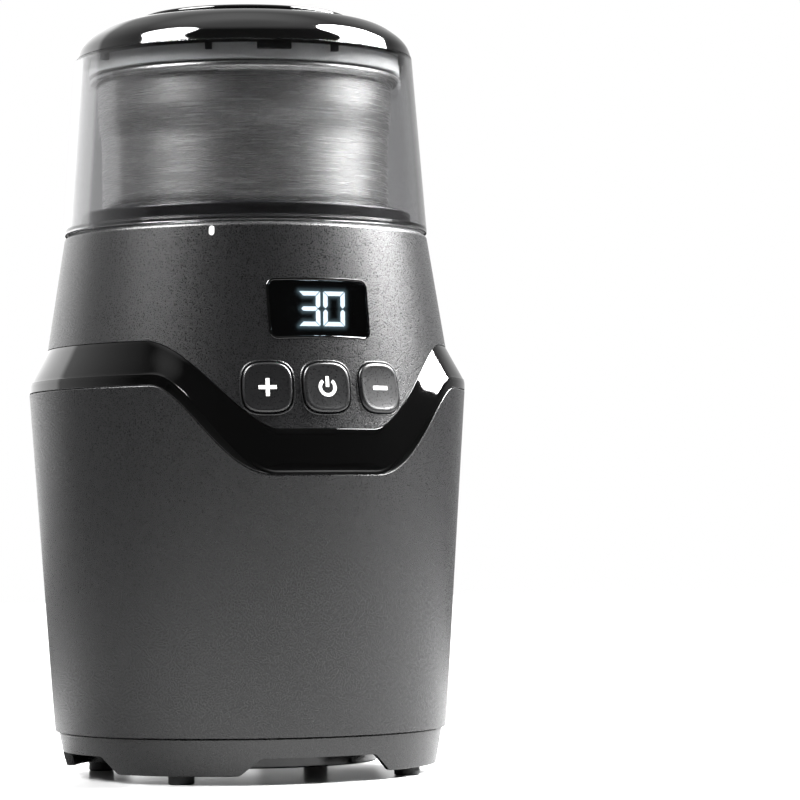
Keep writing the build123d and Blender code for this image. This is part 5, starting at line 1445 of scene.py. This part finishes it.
# ---------------------------------------------------------------- lid
@dataclass
class Lid:
    """The clear cover, the gloss cap with its disc, and the ring and seal under the cap."""

    lip_wall: float = 4.5
    lip_height: float = 1.5
    lip_rise: float = 0.3  # slope between the lip and the wall's foot
    ledge_rise: float = 0.2
    wall: float = 2.0
    lean_start: float = 0.06  # foot of the wall inside the lip
    fit: float = 0.05  # between pieces pressed into each other
    disc_radius: float = 34.0
    disc_height: float = 2.5
    disc_round: float = 0.9
    moat: float = 0.6
    moat_lip: tuple[Flat, ...] = ((1.0, 0.06), (0.55, 0.3))  # outwards and down from the dome's edge
    moat_foot: Flat = (0.3, 0.15)
    cap_wall: float = 2.2
    cap_edge: tuple[Flat, ...] = ((0.2, 0.0), (0.04, 0.1))  # inwards and up from the wall's top
    plug_wall: float = 1.4
    plug_height: float = 1.0
    dome: tuple[Flat, ...] = ((1.0, 0.0), (0.916, 0.32), (0.741, 0.59), (0.434, 0.856), (0.0, 1.0))
    shelf: float = 2.55
    crown: float = 0.85
    seal_wall: float = 4.2
    seal_inset: float = 0.5
    seal_bevel: Flat = (1.2, 0.8)
    tab_height: float = 2.0
    tab_turn: float = 79.0  # first snap tab from the front
    tab_width: float = 10.5
    tab_root: float = 0.2
    rib_width: float = 1.8
    rib_turn: float = 22.5

    def __post_init__(self) -> None:
        """Works out the radii inside the wall."""
        self.plug_outer = LEVEL.lid_high_radius - self.wall - self.fit
        self.plug_inner = self.plug_outer - self.plug_wall
        self.ring_outer = self.plug_inner - self.fit
        self.plug_low = LEVEL.lid_high - self.plug_height
        self.seal_high = self.plug_low + 0.1

    def build_cover(self) -> None:
        """Builds the clear tapered wall with its thick lip."""
        low, lip, high = LEVEL.lid_low, LEVEL.lid_low + self.lip_height, LEVEL.lid_high
        outer, top = LEVEL.lid_radius, LEVEL.lid_high_radius
        foot, inner = outer - self.lean_start, outer - self.lip_wall
        corners = [(inner, low, 0.3), (outer, low, 0.4), (outer, lip, 0.2), (foot, lip + self.lip_rise, 0.2)]
        corners += [(top, high, 0.25), (top - self.wall, high, 0.25)]
        corners += [(foot - self.wall, lip + self.ledge_rise, 0.2), (inner, lip, 0.3)]
        wall = hand_over(lathe("lid_wall", corners), "lid", Slot.CLEAR_SMOKED, "lid_cover")
        wall.visible_shadow = False  # clear plastic lets the light through to the bowl

    def dome_line(self, inset: float, low: float) -> list[Flat]:
        """Gives the dome's line from its lower edge to its shoulder, moved in by an inset."""
        rise = LEVEL.top - LEVEL.lid_high - self.disc_height + self.crown
        shoulder = self.disc_radius + self.shelf
        reach = LEVEL.lid_high_radius - shoulder
        return flowing([(shoulder + reach * r - inset, low + rise * h) for r, h in self.dome])

    def build_cap(self) -> None:
        """Builds the gloss dome, with a moat round the disc and a plug inside the wall."""
        recess, high, moat = LEVEL.top - self.disc_height, LEVEL.lid_high, self.disc_radius + self.moat
        outer = self.dome_line(0, high)
        inner = self.dome_line(self.cap_wall, high - self.cap_wall)
        crest = outer[-1][1]
        profile = [
            *[(LEVEL.lid_high_radius - inwards, high + up) for inwards, up in self.cap_edge],
            *outer[1:],
            *[(moat + outwards, crest - down) for outwards, down in self.moat_lip],
            (moat + self.moat_foot[0], recess + self.moat_foot[1]),
            (moat, recess),
            (0, recess),
            (0, recess - self.cap_wall),
            *reversed([point for point in inner if point[1] > high + 0.5]),
            (self.plug_inner, high),
            (self.plug_inner, self.plug_low),
            (self.plug_outer, self.plug_low),
            (self.plug_outer, high),
        ]
        hand_over(lathe("lid_dome", profile), "lid", Slot.GLOSS_BLACK, "lid_cap")

    def build_disc(self) -> None:
        """Builds the raised round panel in the middle of the cap."""
        low, radius = LEVEL.top - self.disc_height, self.disc_radius
        corners = [(0, low), (radius, low), (radius, LEVEL.top, self.disc_round), (0, LEVEL.top)]
        hand_over(lathe("lid_panel", corners, 8), "lid", Slot.GLOSS_BLACK, "lid_disc")

    def build_ring(self) -> None:
        """Builds the ring inside the plug, with its snap tabs and ribs."""
        outer, low, top = self.ring_outer, self.plug_low - self.tab_height, self.plug_low - self.fit
        reach, inner = outer + self.plug_wall, outer - self.seal_inset - self.tab_root
        parts = [lathe("ring", tube(outer - self.seal_wall, outer, self.seal_high, LEVEL.lid_high))]
        corners = [(inner, low), (reach, low, 0.3), (reach, top, 0.2), (inner, top + 0.15)]
        side, thin = self.rib_turn, self.rib_width
        for turn, width in ((0, self.tab_width), (-side, thin), (side, thin)):
            tab = lathe("tab", corners, 3, arc=math.degrees(width / reach), count=10)
            parts.append(ring_of(tab, Slot.SATIN_BLACK, 4, first=self.tab_turn + turn))
        hand_over(joined("lid_seal_carrier", parts), "lid", Slot.SATIN_BLACK, "lid_inner_ring")

    def build_seal(self) -> None:
        """Builds the frosted ring that presses on the bowl's rim."""
        outer = self.ring_outer - self.seal_inset
        inner, low, high = outer - self.seal_wall, LEVEL.rim + PLAY, self.seal_high
        across, up = self.seal_bevel
        corners = [(inner, low + up, 0.3), (inner + across, low, 0.5), (outer, low, 0.4)]
        corners += [(outer, high), (inner, high)]
        hand_over(lathe("frosted_seal", corners), "lid", Slot.CLEAR_SILICONE, "lid_seal")


# ---------------------------------------------------------------- bowl
@dataclass
class Bowl:
    """The brushed steel cup with its black collar and hub."""

    radius: float = 46.9
    step: float = 1.2
    bend_low: float = 22.3  # foot of the soft step in its wall, down from the rim
    bend_height: float = 11.4
    corner: float = 9.0
    wall: float = 0.8
    bead: float = 1.3
    bead_sweep: Flat = (215.0, 250.0)  # where the rolled rim starts, and how far it turns
    bead_drop: Flat = (2.1, 2.0)  # wall's ends under the rim outside and inside, in beads
    neck: float = 12.0
    fit: float = 0.05  # between pieces pressed into each other
    collar_height: float = 6.5
    collar_round: float = 1.2
    collar_hold: float = 1.5  # how deep the cup sits in the collar
    web: float = 4.5
    web_radius: float = 46.4
    foot_ring: Flat = (41.3, 43.7)
    lug_low: float = 157.25
    lug_high: float = 160.25
    lug_reach: float = 46.1
    lug_root: float = 1.0
    lug_span: float = 26.0
    arrow_angle: float = -13.2
    arrow_length: float = 16.0
    arrow_head: float = 3.4
    arrow_depth: float = 0.3
    arrow_lift: float = 0.6
    hub_radius: float = 24.7
    hub_rise: float = 3.6
    boss_radius: float = 10.0
    boss_foot: float = 1.5
    bush_radius: float = 5.55
    shaft_hole: float = 3.05

    def __post_init__(self) -> None:
        """Works out the heights from the frame."""
        self.collar_low = LEVEL.collar_top - self.collar_height
        self.cup_low = self.collar_low + self.collar_hold
        self.floor = self.cup_low + self.wall

    def side(self, inset: float) -> list[Flat]:
        """Gives the cup's side from its floor to its rim, moved in by an inset."""
        low, lower, corner = self.cup_low + inset, self.radius - self.step - inset, self.corner - inset
        turns = [math.radians(7.5 * i) for i in range(13)]
        arc = [(lower - corner + corner * math.sin(t), low + corner - corner * math.cos(t)) for t in turns]
        foot = LEVEL.rim - self.bend_low
        shares = [i / 16 for i in range(17)]
        step, rise = self.step, self.bend_height
        return arc + [(lower + step * (3 * s * s - 2 * s**3), foot + rise * s) for s in shares]

    def build_cup(self) -> None:
        """Builds the steel cup: flat floor, round corner, stepped wall and rolled rim."""
        bead, (start, sweep), (outside, inside) = self.bead, self.bead_sweep, self.bead_drop
        middle, height = LEVEL.rim_radius - bead, LEVEL.rim - bead
        turns = [math.radians(start - sweep * i / 24) for i in range(24, -1, -1)]
        profile = [
            (self.neck, self.cup_low),
            *self.side(0),
            (self.radius, LEVEL.rim - outside * bead),
            *[(middle + bead * math.cos(t), height + bead * math.sin(t)) for t in turns],
            (self.radius - self.wall, LEVEL.rim - inside * bead),
            *reversed(self.side(self.wall)),
            (self.neck, self.floor),
        ]
        hand_over(lathe("steel_cup", profile), "bowl", Slot.BRUSHED_BOWL, "bowl_cup")

    def arrow(self) -> Piece:
        """Gives the solid of the arrow that is engraved in the collar."""
        angle, half, head = self.arrow_angle, self.arrow_length / 2, self.arrow_head
        distance = LEVEL.collar_radius - self.arrow_depth
        distance *= math.cos(math.asin(half / distance))
        height = LEVEL.collar_top - self.collar_height / 2 + self.arrow_lift
        face = matrix_of(ray(angle + 90), UP, ray(angle), ray(angle, distance, height))
        below = [(head - half, -head / 2), (head - half, -head / 4), (half, -head / 4)]
        outline = [(-half, 0), *below, *[(x, -y) for x, y in reversed(below)]]
        return prism("arrow", face, outline, 0, 4)

    def build_collar(self) -> None:
        """Builds the collar with its engraved arrow, the web in the socket and the bayonet ring."""
        web, low, top = self.cup_low - self.web, self.collar_low, LEVEL.collar_top
        neck, cup = self.neck + self.fit, self.radius - self.step + self.fit
        corners = [
            (neck, web),
            (self.web_radius, web, 0.6),
            (self.web_radius, low),
            (LEVEL.collar_radius, low, 0.4),
            (LEVEL.collar_radius, top, self.collar_round),
            (cup, top, 0.3),
            (cup, self.cup_low),
            (neck, self.cup_low),
        ]
        collar = cut(lathe("collar", corners), self.arrow())
        (inner, outer), low = self.foot_ring, low_corner("bowl_collar").z
        foot = lathe("foot", [(inner, low, 0.5), (outer, low, 0.5), (outer, web), (inner, web)], 4)
        root, low, high = outer - self.lug_root, self.lug_low, self.lug_high
        corners = [(root, low), (self.lug_reach, low, 0.5), (self.lug_reach, high, 0.3), (root, high)]
        lugs = ring_of(lathe("lug", corners, 4, arc=self.lug_span, count=26), Slot.SATIN_BLACK, 3)
        hand_over(joined("bowl_base_ring", [collar, foot, lugs]), "bowl", Slot.SATIN_BLACK, "bowl_collar")

    def build_hub(self) -> None:
        """Builds the black hub in the bowl's floor and the lip seal round the shaft."""
        low, top, boss = low_corner("bowl_hub").z, self.floor + self.hub_rise, high_corner("bowl_hub").z
        neck = self.neck - self.fit
        corners = [
            (self.bush_radius, low),
            (neck, low, 0.4),
            (neck, self.floor),
            (self.hub_radius, self.floor),
            (self.hub_radius, top, 1.3),
            (self.boss_radius + self.boss_foot, top, 1.0),
            (self.boss_radius, boss, 0.7),
            (self.bush_radius, boss, 0.3),
        ]
        hand_over(lathe("floor_hub", corners), "bowl", Slot.SATIN_BLACK, "bowl_hub")
        low, high = low_corner("hub_seal").z, high_corner("hub_seal").z
        inner, outer = self.shaft_hole, self.bush_radius - self.fit
        corners = [(inner, low), (outer, low), (outer, high, 0.6), (inner, high, 0.3)]
        hand_over(lathe("shaft_lip_seal", corners, count=96), "bowl", Slot.SOFT_BLACK, "hub_seal")


@dataclass
class Blade:
    """The two-arm blade with its rivet and washer."""

    span: float = 66.0
    thickness: float = 1.5
    plate: Flat = (20.0, 16.0)
    root_width: float = 11.5
    tip_width: float = 5.4
    drop: float = 2.0
    tip_rise: float = 5.0
    tip_length: float = 4.0
    edge: float = 0.35  # chamfer of the ground edges
    sections: tuple[int, ...] = (8, 12, 5)  # along the plate, an arm and a tip
    rivet_radius: float = 2.6
    rivet_dome: Flat = (1.1, 0.9)
    washer_radius: float = 6.0
    shaft_hole: float = 3.05

    def build_blade(self) -> None:
        """Builds the blade: a hexagonal plate, two tapered arms that dip, and bent-up tips."""
        middle = high_corner("blade_washer").z + self.thickness / 2
        half_span, half, e = self.span / 2, self.thickness / 2, self.edge
        knots = [
            Vector((0, self.plate[1] / 2, middle)),
            Vector((self.plate[0] / 2, self.root_width / 2, middle)),
            Vector((half_span - self.tip_length, self.tip_width / 2, middle - self.drop)),
            Vector((half_span, self.tip_width / 2, middle - self.drop + self.tip_rise)),
        ]
        stations = [knots[0]]
        for start, end, steps in zip(knots, knots[1:], self.sections, strict=False):
            stations += [start.lerp(end, i / steps) for i in range(1, steps + 1)]
        whole = [Vector((-x, w, z)) for x, w, z in reversed(stations[1:])] + stations
        loops = []
        for k, (x, w, z) in enumerate(whole):
            way = whole[min(k + 1, len(whole) - 1)] - whole[max(k - 1, 0)]
            slope = math.atan2(way.z, way.x)
            up = Vector((-math.sin(slope), 0, math.cos(slope)))
            if k in (0, len(whole) - 1):
                x = math.copysign(half_span - half * abs(math.sin(slope)), x)
            right = [(w - e, -half), (w, -half + e), (w, half - e), (w - 2 * e, half)]
            ring = [(-w, -half + e), (-w + e, -half), *right, (-w + 2 * e, half), (-w, half - e)]
            loops.append([Vector((x, y, z)) + up * lift for y, lift in ring])
        hand_over(skin("two_arm_blade", loops), "blade", Slot.BLADE_STEEL, "grinding_blade", crease=20.0)

    def build_fixings(self) -> None:
        """Builds the domed rivet head on the blade and the washer under it."""
        low, high = low_corner("blade_rivet").z, high_corner("blade_rivet").z
        radius, (inwards, down) = self.rivet_radius, self.rivet_dome
        corners = [(0, low), (radius, low), (radius, high - down, 0.3)]
        corners += [(radius - inwards, high, 1.2), (0, high)]
        hand_over(lathe("blade_rivet_head", corners, count=64), "blade", Slot.BLADE_STEEL, "blade_rivet")
        low, high = low_corner("blade_washer").z, high_corner("blade_washer").z
        inner, outer = self.shaft_hole, self.washer_radius
        corners = [(inner, low), (outer, low, 0.25), (outer, high, 0.25), (inner, high)]
        hand_over(lathe("washer", corners, 3, count=96), "blade", Slot.BLADE_STEEL, "blade_washer")


# ---------------------------------------------------------------- base
@dataclass
class Base:
    """The skirt with its notches, the cord drum, the feet, screws and grommet."""

    wall: float = 2.4
    floor: float = 2.7
    foot_radius: float = 58.7
    notch_bottom: float = 49.6
    notch_top: float = 37.4
    notch_height: float = 5.4
    notch_round: Flat = (2.2, 2.6)
    notch_reach: Flat = (44.0, 64.0)
    drum_radius: float = 40.0
    drum_wall: float = 2.0
    vent_circle: float = 22.0
    vent: Flat = (13.0, 2.4)
    vents: int = 12
    foot_circle: float = 53.0
    foot: float = 4.0
    pad_edge: float = 0.6  # how far the pads stand out round the feet
    pad_root: float = 0.4
    tread: Flat = (2.2, 0.35)  # radius and depth of the hollow in a foot
    plug: Flat = (2.0, 1.5)
    board_post: Flat = (1.5, 3.5)
    board_half: float = 25.2  # half the spacing of the power board's posts
    screw_circle: float = 55.0
    screw_head: float = 2.2
    screw_radius: float = 1.5
    screw_tip: Flat = (0.5, 0.6)
    cross: Flat = (1.25, 0.3)  # half-length and half-width of the recess
    cross_depth: float = 1.0
    grommet_circle: float = 45.7
    grommet: Ring = (3.5, 4.6, 5.4)  # radius of its hole, its groove and its rims
    overlap: float = 0.5  # how far the board posts run into the floor

    def __post_init__(self) -> None:
        """Works out the heights from the frame."""
        self.low = LEVEL.skirt_low
        self.top = LEVEL.case_low - SEAM_GAP
        self.floor_low = self.top - self.floor

    def notch(self) -> Piece:
        """Gives the solid of one notch: a wide opening with S-shaped ends."""
        half_low, half_top, height = self.notch_bottom / 2, self.notch_top / 2, self.notch_height
        foot, crown = self.notch_round
        right = [(half_top, height, crown), (half_low, 0, foot), (half_low + 4, 0), (half_low + 4, -3)]
        corners = [(-x, *rest) for x, *rest in reversed(right)] + right
        face = matrix_of(RIGHT, UP, FRONT, UP * self.low)
        return prism("notch", face, filleted(corners, 8), *self.notch_reach)

    def slots(self, low: float, high: float) -> Piece:
        """Gives the solids of the ring of vents between two heights."""
        length, width = self.vent
        shape = Outline(width, length, width / 2 - 0.01, step=6.0).points()
        slot = prism("slot", matrix_of(RIGHT, FRONT, DOWN, FRONT * self.vent_circle), shape, -high, -low)
        return ring_of(slot, Slot.MATT_CASE, self.vents)

    def build_skirt(self) -> None:
        """Builds the base moulding: floor, sloping skirt, rounded notches and foot pads."""
        low, top, edge = self.low, self.top, LEVEL.skirt_radius
        lean = (edge - self.foot_radius) / (top - low)
        foot, floor = self.foot_radius, self.floor_low
        inner = foot + (floor - low) * lean - self.wall
        corners = [(0, floor), (inner, floor, 0.8), (foot - self.wall, low, 0.3), (foot, low, 0.5)]
        corners += [(edge, top, 0.4), (0, top)]
        body = cut(lathe("skirt", corners, 4), ring_of(self.notch(), Slot.MATT_CASE, 4))
        cut(body, self.slots(floor - 1, top + 1))
        radius, high = self.foot + self.pad_edge, floor + self.pad_root
        pillar = lathe("pillar", [(0, low), (radius, low, 0.3), (radius, high), (0, high)], 3, count=48)
        pillars = ring_of(pillar, Slot.MATT_CASE, 4, reach=self.foot_circle, first=45)
        high = high_corner("base_skirt").z
        post = lathe("post", tube(*self.board_post, top - self.overlap, high), count=32)
        posts = ring_of(post, Slot.MATT_CASE, 4, reach=self.board_half * math.sqrt(2), first=45)
        whole = joined("base_skirt_moulding", [body, pillars, posts])
        hand_over(whole, "root", Slot.MATT_CASE, "base_skirt")

    def build_drum(self) -> None:
        """Builds the drum that the mains lead winds round, with vents in its face."""
        low, top, radius = low_corner("cord_spool").z, self.floor_low, self.drum_radius
        inner, face = radius - self.drum_wall, low + self.drum_wall
        corners = [(0, low), (radius, low, 0.6), (radius, top), (inner, top), (inner, face, 0.4), (0, face)]
        drum = cut(lathe("cord_drum", corners, 4), self.slots(low - 1, face + 1))
        hand_over(drum, "root", Slot.SATIN_BLACK, "cord_spool")

    def build_feet(self) -> None:
        """Builds the four rubber feet with a hollow tread and the plugs that hold them."""
        (hollow, depth), (plug, length) = self.tread, self.plug
        low = self.low
        corners = [(0, depth), (hollow, depth), (hollow + 0.25, 0, 0.12), (self.foot, 0, 0.6)]
        corners += [(self.foot, low), (plug, low), (plug, low + length), (0, low + length)]
        foot = lathe("rubber_feet_pads", corners, 5, count=64)
        feet = ring_of(foot, Slot.SOFT_BLACK, 4, reach=self.foot_circle, first=45)
        hand_over(feet, "root", Slot.SOFT_BLACK, "rubber_feet")

    def build_screws(self) -> None:
        """Builds the four pan-head screws with cross recesses."""
        low, high = low_corner("base_screws").z, high_corner("base_screws").z
        head, radius, (bevel, tip) = self.floor_low, self.screw_radius, self.screw_tip
        corners = [(0, low), (self.screw_head, low, 0.7), (self.screw_head, head), (radius, head)]
        corners += [(radius, high - tip), (radius - bevel, high), (0, high)]
        screw = lathe("base_cross_screws", corners, 5, count=48)
        a, s = self.cross
        right = [(s, -a), (s, -s), (a, -s), (a, s), (s, s), (s, a)]
        cross = [(-a, -s), (-s, -s), (-s, -a), *right, (-s, a), (-s, s), (-a, s)]
        down = matrix_of(RIGHT, FRONT, DOWN, UP * low)
        cut(screw, prism("cross", down, cross, 0.1 - self.cross_depth, 1.0))
        screws = ring_of(screw, Slot.PLATED_SCREW, 4, reach=self.screw_circle, first=45, swing=15)
        hand_over(screws, "root", Slot.PLATED_SCREW, "base_screws")

    def build_grommet(self) -> None:
        """Builds the rubber grommet that the mains lead comes out of."""
        low, high = low_corner("cord_grommet").z, high_corner("cord_grommet").z
        hole, groove, rim = self.grommet
        corners = [(hole, low, 0.5), (rim, low, 0.5), (rim, self.floor_low), (groove, self.floor_low)]
        corners += [(groove, self.top), (rim, self.top), (rim, high, 0.5), (hole, high, 0.5)]
        grommet = lathe("lead_grommet", corners, 5, count=64)
        grommet.data.transform(Matrix.Translation(FRONT * -self.grommet_circle * MM))
        hand_over(grommet, "root", Slot.SOFT_BLACK, "cord_grommet")


# ---------------------------------------------------------------- inner works
@dataclass
class Works:
    """The nodes inside that keep their own shape and get their real finish."""

    def dress(self) -> None:
        """Gives every shown node the finish of its slot in the record."""
        for subpart in frame["record"]["subparts"]:
            node = frame["nodes"][subpart["node"]]
            material = MATERIALS[Slot(subpart["material_slot"])]
            for spot in node.material_slots:
                spot.material = material
            if not node.material_slots:
                node.data.materials.append(material)
        LOG.info("finishes given to %d nodes of the frame", len(frame["nodes"]))


# ---------------------------------------------------------------- studio
@dataclass(frozen=True)
class SoftBox:
    """A round studio light: angles in degrees, sizes in metres, power in watts."""

    name: str
    azimuth: float  # from the front, to the right
    elevation: float
    size: float
    power: float
    kept_off: tuple[str, ...] = ()  # pieces that a black card shades from it
    distance: float = 1.3
    aim: Ring = (0, 0, 0.18)

    def build(self) -> None:
        """Hangs the light, turned to the grinder and hidden from the camera itself."""
        lift = math.radians(self.elevation)
        way = ray(self.azimuth, math.cos(lift), math.sin(lift))
        light = bpy.data.lights.new(self.name, "AREA")
        light.shape = "DISK"
        light.size = self.size
        light.energy = self.power
        lamp = linked(self.name, light)
        lamp.location = Vector(self.aim) + way * self.distance
        lamp.rotation_mode = "QUATERNION"
        lamp.rotation_quaternion = way.to_track_quat("Z", "Y")
        lamp.visible_camera = False
        if self.kept_off:
            card = bpy.data.collections.new(f"{self.name}_card")
            for name in self.kept_off:
                card.objects.link(bpy.data.objects[name])
            for spot in card.collection_objects:
                spot.light_linking.link_state = "EXCLUDE"
            lamp.light_linking.receiver_collection = card


@dataclass
class Studio:
    """White surroundings, soft lights, a pale floor and the camera, in metres."""

    boxes: tuple[SoftBox, ...] = (
        SoftBox("left_box", -88, 48, 0.77, 64.0, kept_off=("gloss_band",)),
        SoftBox("right_box", 82, 42, 1.02, 225.0),
    )
    front_shade: float = 0.04  # light from the dark room before the grinder
    lean: float = -0.15  # how far the light of the sides and back leans to the left
    walls: tuple[Ring, ...] = ((0.0, 0.8, 0.65), (0.83, 0.87, 1.2))  # start, end and light of sides and back
    ceiling: Ring = (0.8, 0.95, 0.8)
    floor_size: float = 6.0
    floor_colour: str = "#cacaca"
    floor_white: float = 0.12  # the floor turns to plain white from here on
    floor_end: float = 0.5
    floor_glow: float = 1.5
    # the floor's painted light as the grinder's reflections see it: the colour in the painted pool, and past
    # it
    painted_floor_light: Flat = (0.27, 0.02)  # what the grinder gets back from the floor in the light, and past it
    painted_pool_middle: Ring = (0.15, -0.15, 0)
    painted_pool_reach: Flat = (0.3, 0.8)
    distance: float = 1.08
    turn: float = 21.3  # camera's place to the left of the front, in degrees
    height: float = 0.0735
    yaw: float = 2.584
    pitch: float = 2.365
    roll: float = -0.698
    lens: float = 151.96
    sensor: float = 36.0

    @staticmethod
    def seen_straight(tree: Tree) -> Node:
        """Adds the nodes that tell the rays that see the surroundings straight or through clear parts.

        Args:
            tree: The tree to add them to.

        Returns:
            The node that gives one for such a ray and nought for any other.
        """
        rays = add_node(tree, "ShaderNodeLightPath").outputs
        bounces = add_node(tree, MATH, {0: rays["Glossy Depth"], 1: rays["Diffuse Depth"]}, operation="ADD")
        return add_node(tree, MATH, {0: bounces, 1: 0.5}, operation="LESS_THAN")

    def build_world(self) -> None:
        """Makes the surroundings white to the eye, and bright behind and above but dark in front as light."""
        world = bpy.data.worlds.new("studio")
        bpy.context.scene.world = world
        tree = emptied(world)
        way = add_node(tree, "ShaderNodeTexCoord").outputs["Generated"]
        side, back, up = add_node(tree, "ShaderNodeSeparateXYZ", {0: way}).outputs
        turned = add_node(tree, MATH, {0: side, 1: self.lean, 2: back}, operation="MULTIPLY_ADD")
        seen: Node | float = self.front_shade
        for value, (low, high, gain) in zip((turned, turned, up), (*self.walls, self.ceiling), strict=True):
            share = add_node(tree, MAP, {"Value": value, "From Min": low, "From Max": high, "To Max": gain})
            seen = add_node(tree, MATH, {0: seen, 1: share}, operation="ADD")
        light = add_node(tree, "ShaderNodeMix", {0: self.seen_straight(tree), 2: seen, 3: 1.0})
        sky = add_node(tree, "ShaderNodeBackground", {"Color": (1, 1, 1, 1), "Strength": light})
        add_node(tree, "ShaderNodeOutputWorld", {"Surface": sky})

    def floor_material(self) -> bpy.types.Material:
        """Builds the floor's matt white card, fading to plain white; in reflections its colour is a painted
        pool of light in front of the grinder.
        """
        material = bpy.data.materials.new("matt_white_sweep")
        tree = emptied(material)
        place = add_node(tree, "ShaderNodeTexCoord").outputs["Object"]
        reach = add_node(tree, "ShaderNodeVectorMath", {0: place}, operation="LENGTH").outputs["Value"]
        span = {"Value": reach, "From Min": self.floor_white, "From Max": self.floor_end}
        far = add_node(tree, MAP, span, interpolation_type="SMOOTHSTEP")
        finish = {"Base Color": linear(self.floor_colour), "Roughness": 0.2, "Specular IOR Level": 0.4}
        paper = add_node(tree, "ShaderNodeBsdfPrincipled", finish)
        white = add_node(tree, "ShaderNodeEmission", {"Color": (1, 1, 1, 1), "Strength": self.floor_glow})
        pale = add_node(tree, "ShaderNodeMixShader", {0: far, 1: paper, 2: white})
        # painted pool of light: in reflections the floor's colour is lighter round this spot and darker past
        # it
        spot = add_node(tree, "ShaderNodeVectorMath", {0: place, 1: self.painted_pool_middle}, operation="SUBTRACT")
        away = add_node(tree, "ShaderNodeVectorMath", {0: spot}, operation="LENGTH").outputs["Value"]
        fade = {"Value": away, "From Min": self.painted_pool_reach[0], "From Max": self.painted_pool_reach[1]}
        fade |= {"To Min": self.painted_floor_light[0], "To Max": self.painted_floor_light[1]}
        shade = add_node(tree, MAP, fade, interpolation_type="SMOOTHSTEP")
        painted_pool_floor = add_node(tree, "ShaderNodeBsdfDiffuse", {"Color": shade})
        mixed = add_node(tree, "ShaderNodeMixShader", {0: self.seen_straight(tree), 1: painted_pool_floor, 2: pale})
        add_node(tree, "ShaderNodeOutputMaterial", {"Surface": mixed})
        return material

    def build_floor(self) -> None:
        """Builds the pale floor, which runs out into the white surroundings."""
        half = self.floor_size / 2 / MM
        corners = [(-half, -half, 0), (half, -half, 0), (half, half, 0), (-half, half, 0)]
        floor = mesh_object("studio_floor", corners, [(0, 1, 2, 3)])
        floor.data.materials.append(self.floor_material())

    def build_camera(self) -> None:
        """Places the camera: front left, low, looking a little up, with a long lens."""
        camera = bpy.data.cameras.new("camera")
        camera.lens = self.lens
        camera.sensor_width = self.sensor
        camera.clip_start = 0.01
        stand = linked("camera", camera)
        yaw, pitch, roll = (math.radians(a) for a in (self.turn + self.yaw, self.pitch, self.roll))
        look = Vector((math.sin(yaw) * math.cos(pitch), math.cos(yaw) * math.cos(pitch), math.sin(pitch)))
        right = Vector((math.cos(yaw), -math.sin(yaw), 0))
        up = right.cross(look)
        rolled_right = right * math.cos(roll) + up * math.sin(roll)
        rolled_up = up * math.cos(roll) - right * math.sin(roll)
        place = ray(-self.turn, self.distance, self.height)
        stand.matrix_world = matrix_of(rolled_right, rolled_up, -look, place)
        bpy.context.scene.camera = stand

    def build(self) -> None:
        """Builds the whole studio."""
        self.build_world()
        self.build_floor()
        for box in self.boxes:
            box.build()
        self.build_camera()
        bpy.context.scene.view_settings.view_transform = "Standard"


def main() -> None:
    """Builds every assembly in order."""
    logging.basicConfig(level=logging.INFO, format="%(message)s")
    Works().dress()
    case = Case()
    display = Display(case.cone)
    places = ((Sign.PLUS, -16.1), (Sign.POWER, 0.0), (Sign.MINUS, 16.1))
    buttons = [PushButton(case.cone, sign, angle) for sign, angle in places]
    case.build_lower()
    case.build_band()
    case.build_upper([display.hole(), *[b.hole() for b in buttons]], [b.surround() for b in buttons])
    case.build_mark()
    display.build_bezel()
    display.build_lens()
    display.build_module()
    display.build_digits()
    for button in buttons:
        button.build_cap()
        button.build_sign()
    lid = Lid()
    lid.build_cover()
    lid.build_cap()
    lid.build_disc()
    lid.build_ring()
    lid.build_seal()
    bowl = Bowl()
    bowl.build_cup()
    bowl.build_collar()
    bowl.build_hub()
    blade = Blade()
    blade.build_blade()
    blade.build_fixings()
    base = Base()
    base.build_skirt()
    base.build_drum()
    base.build_feet()
    base.build_screws()
    base.build_grommet()
    Studio().build()


if __name__ == "__main__":
    main()
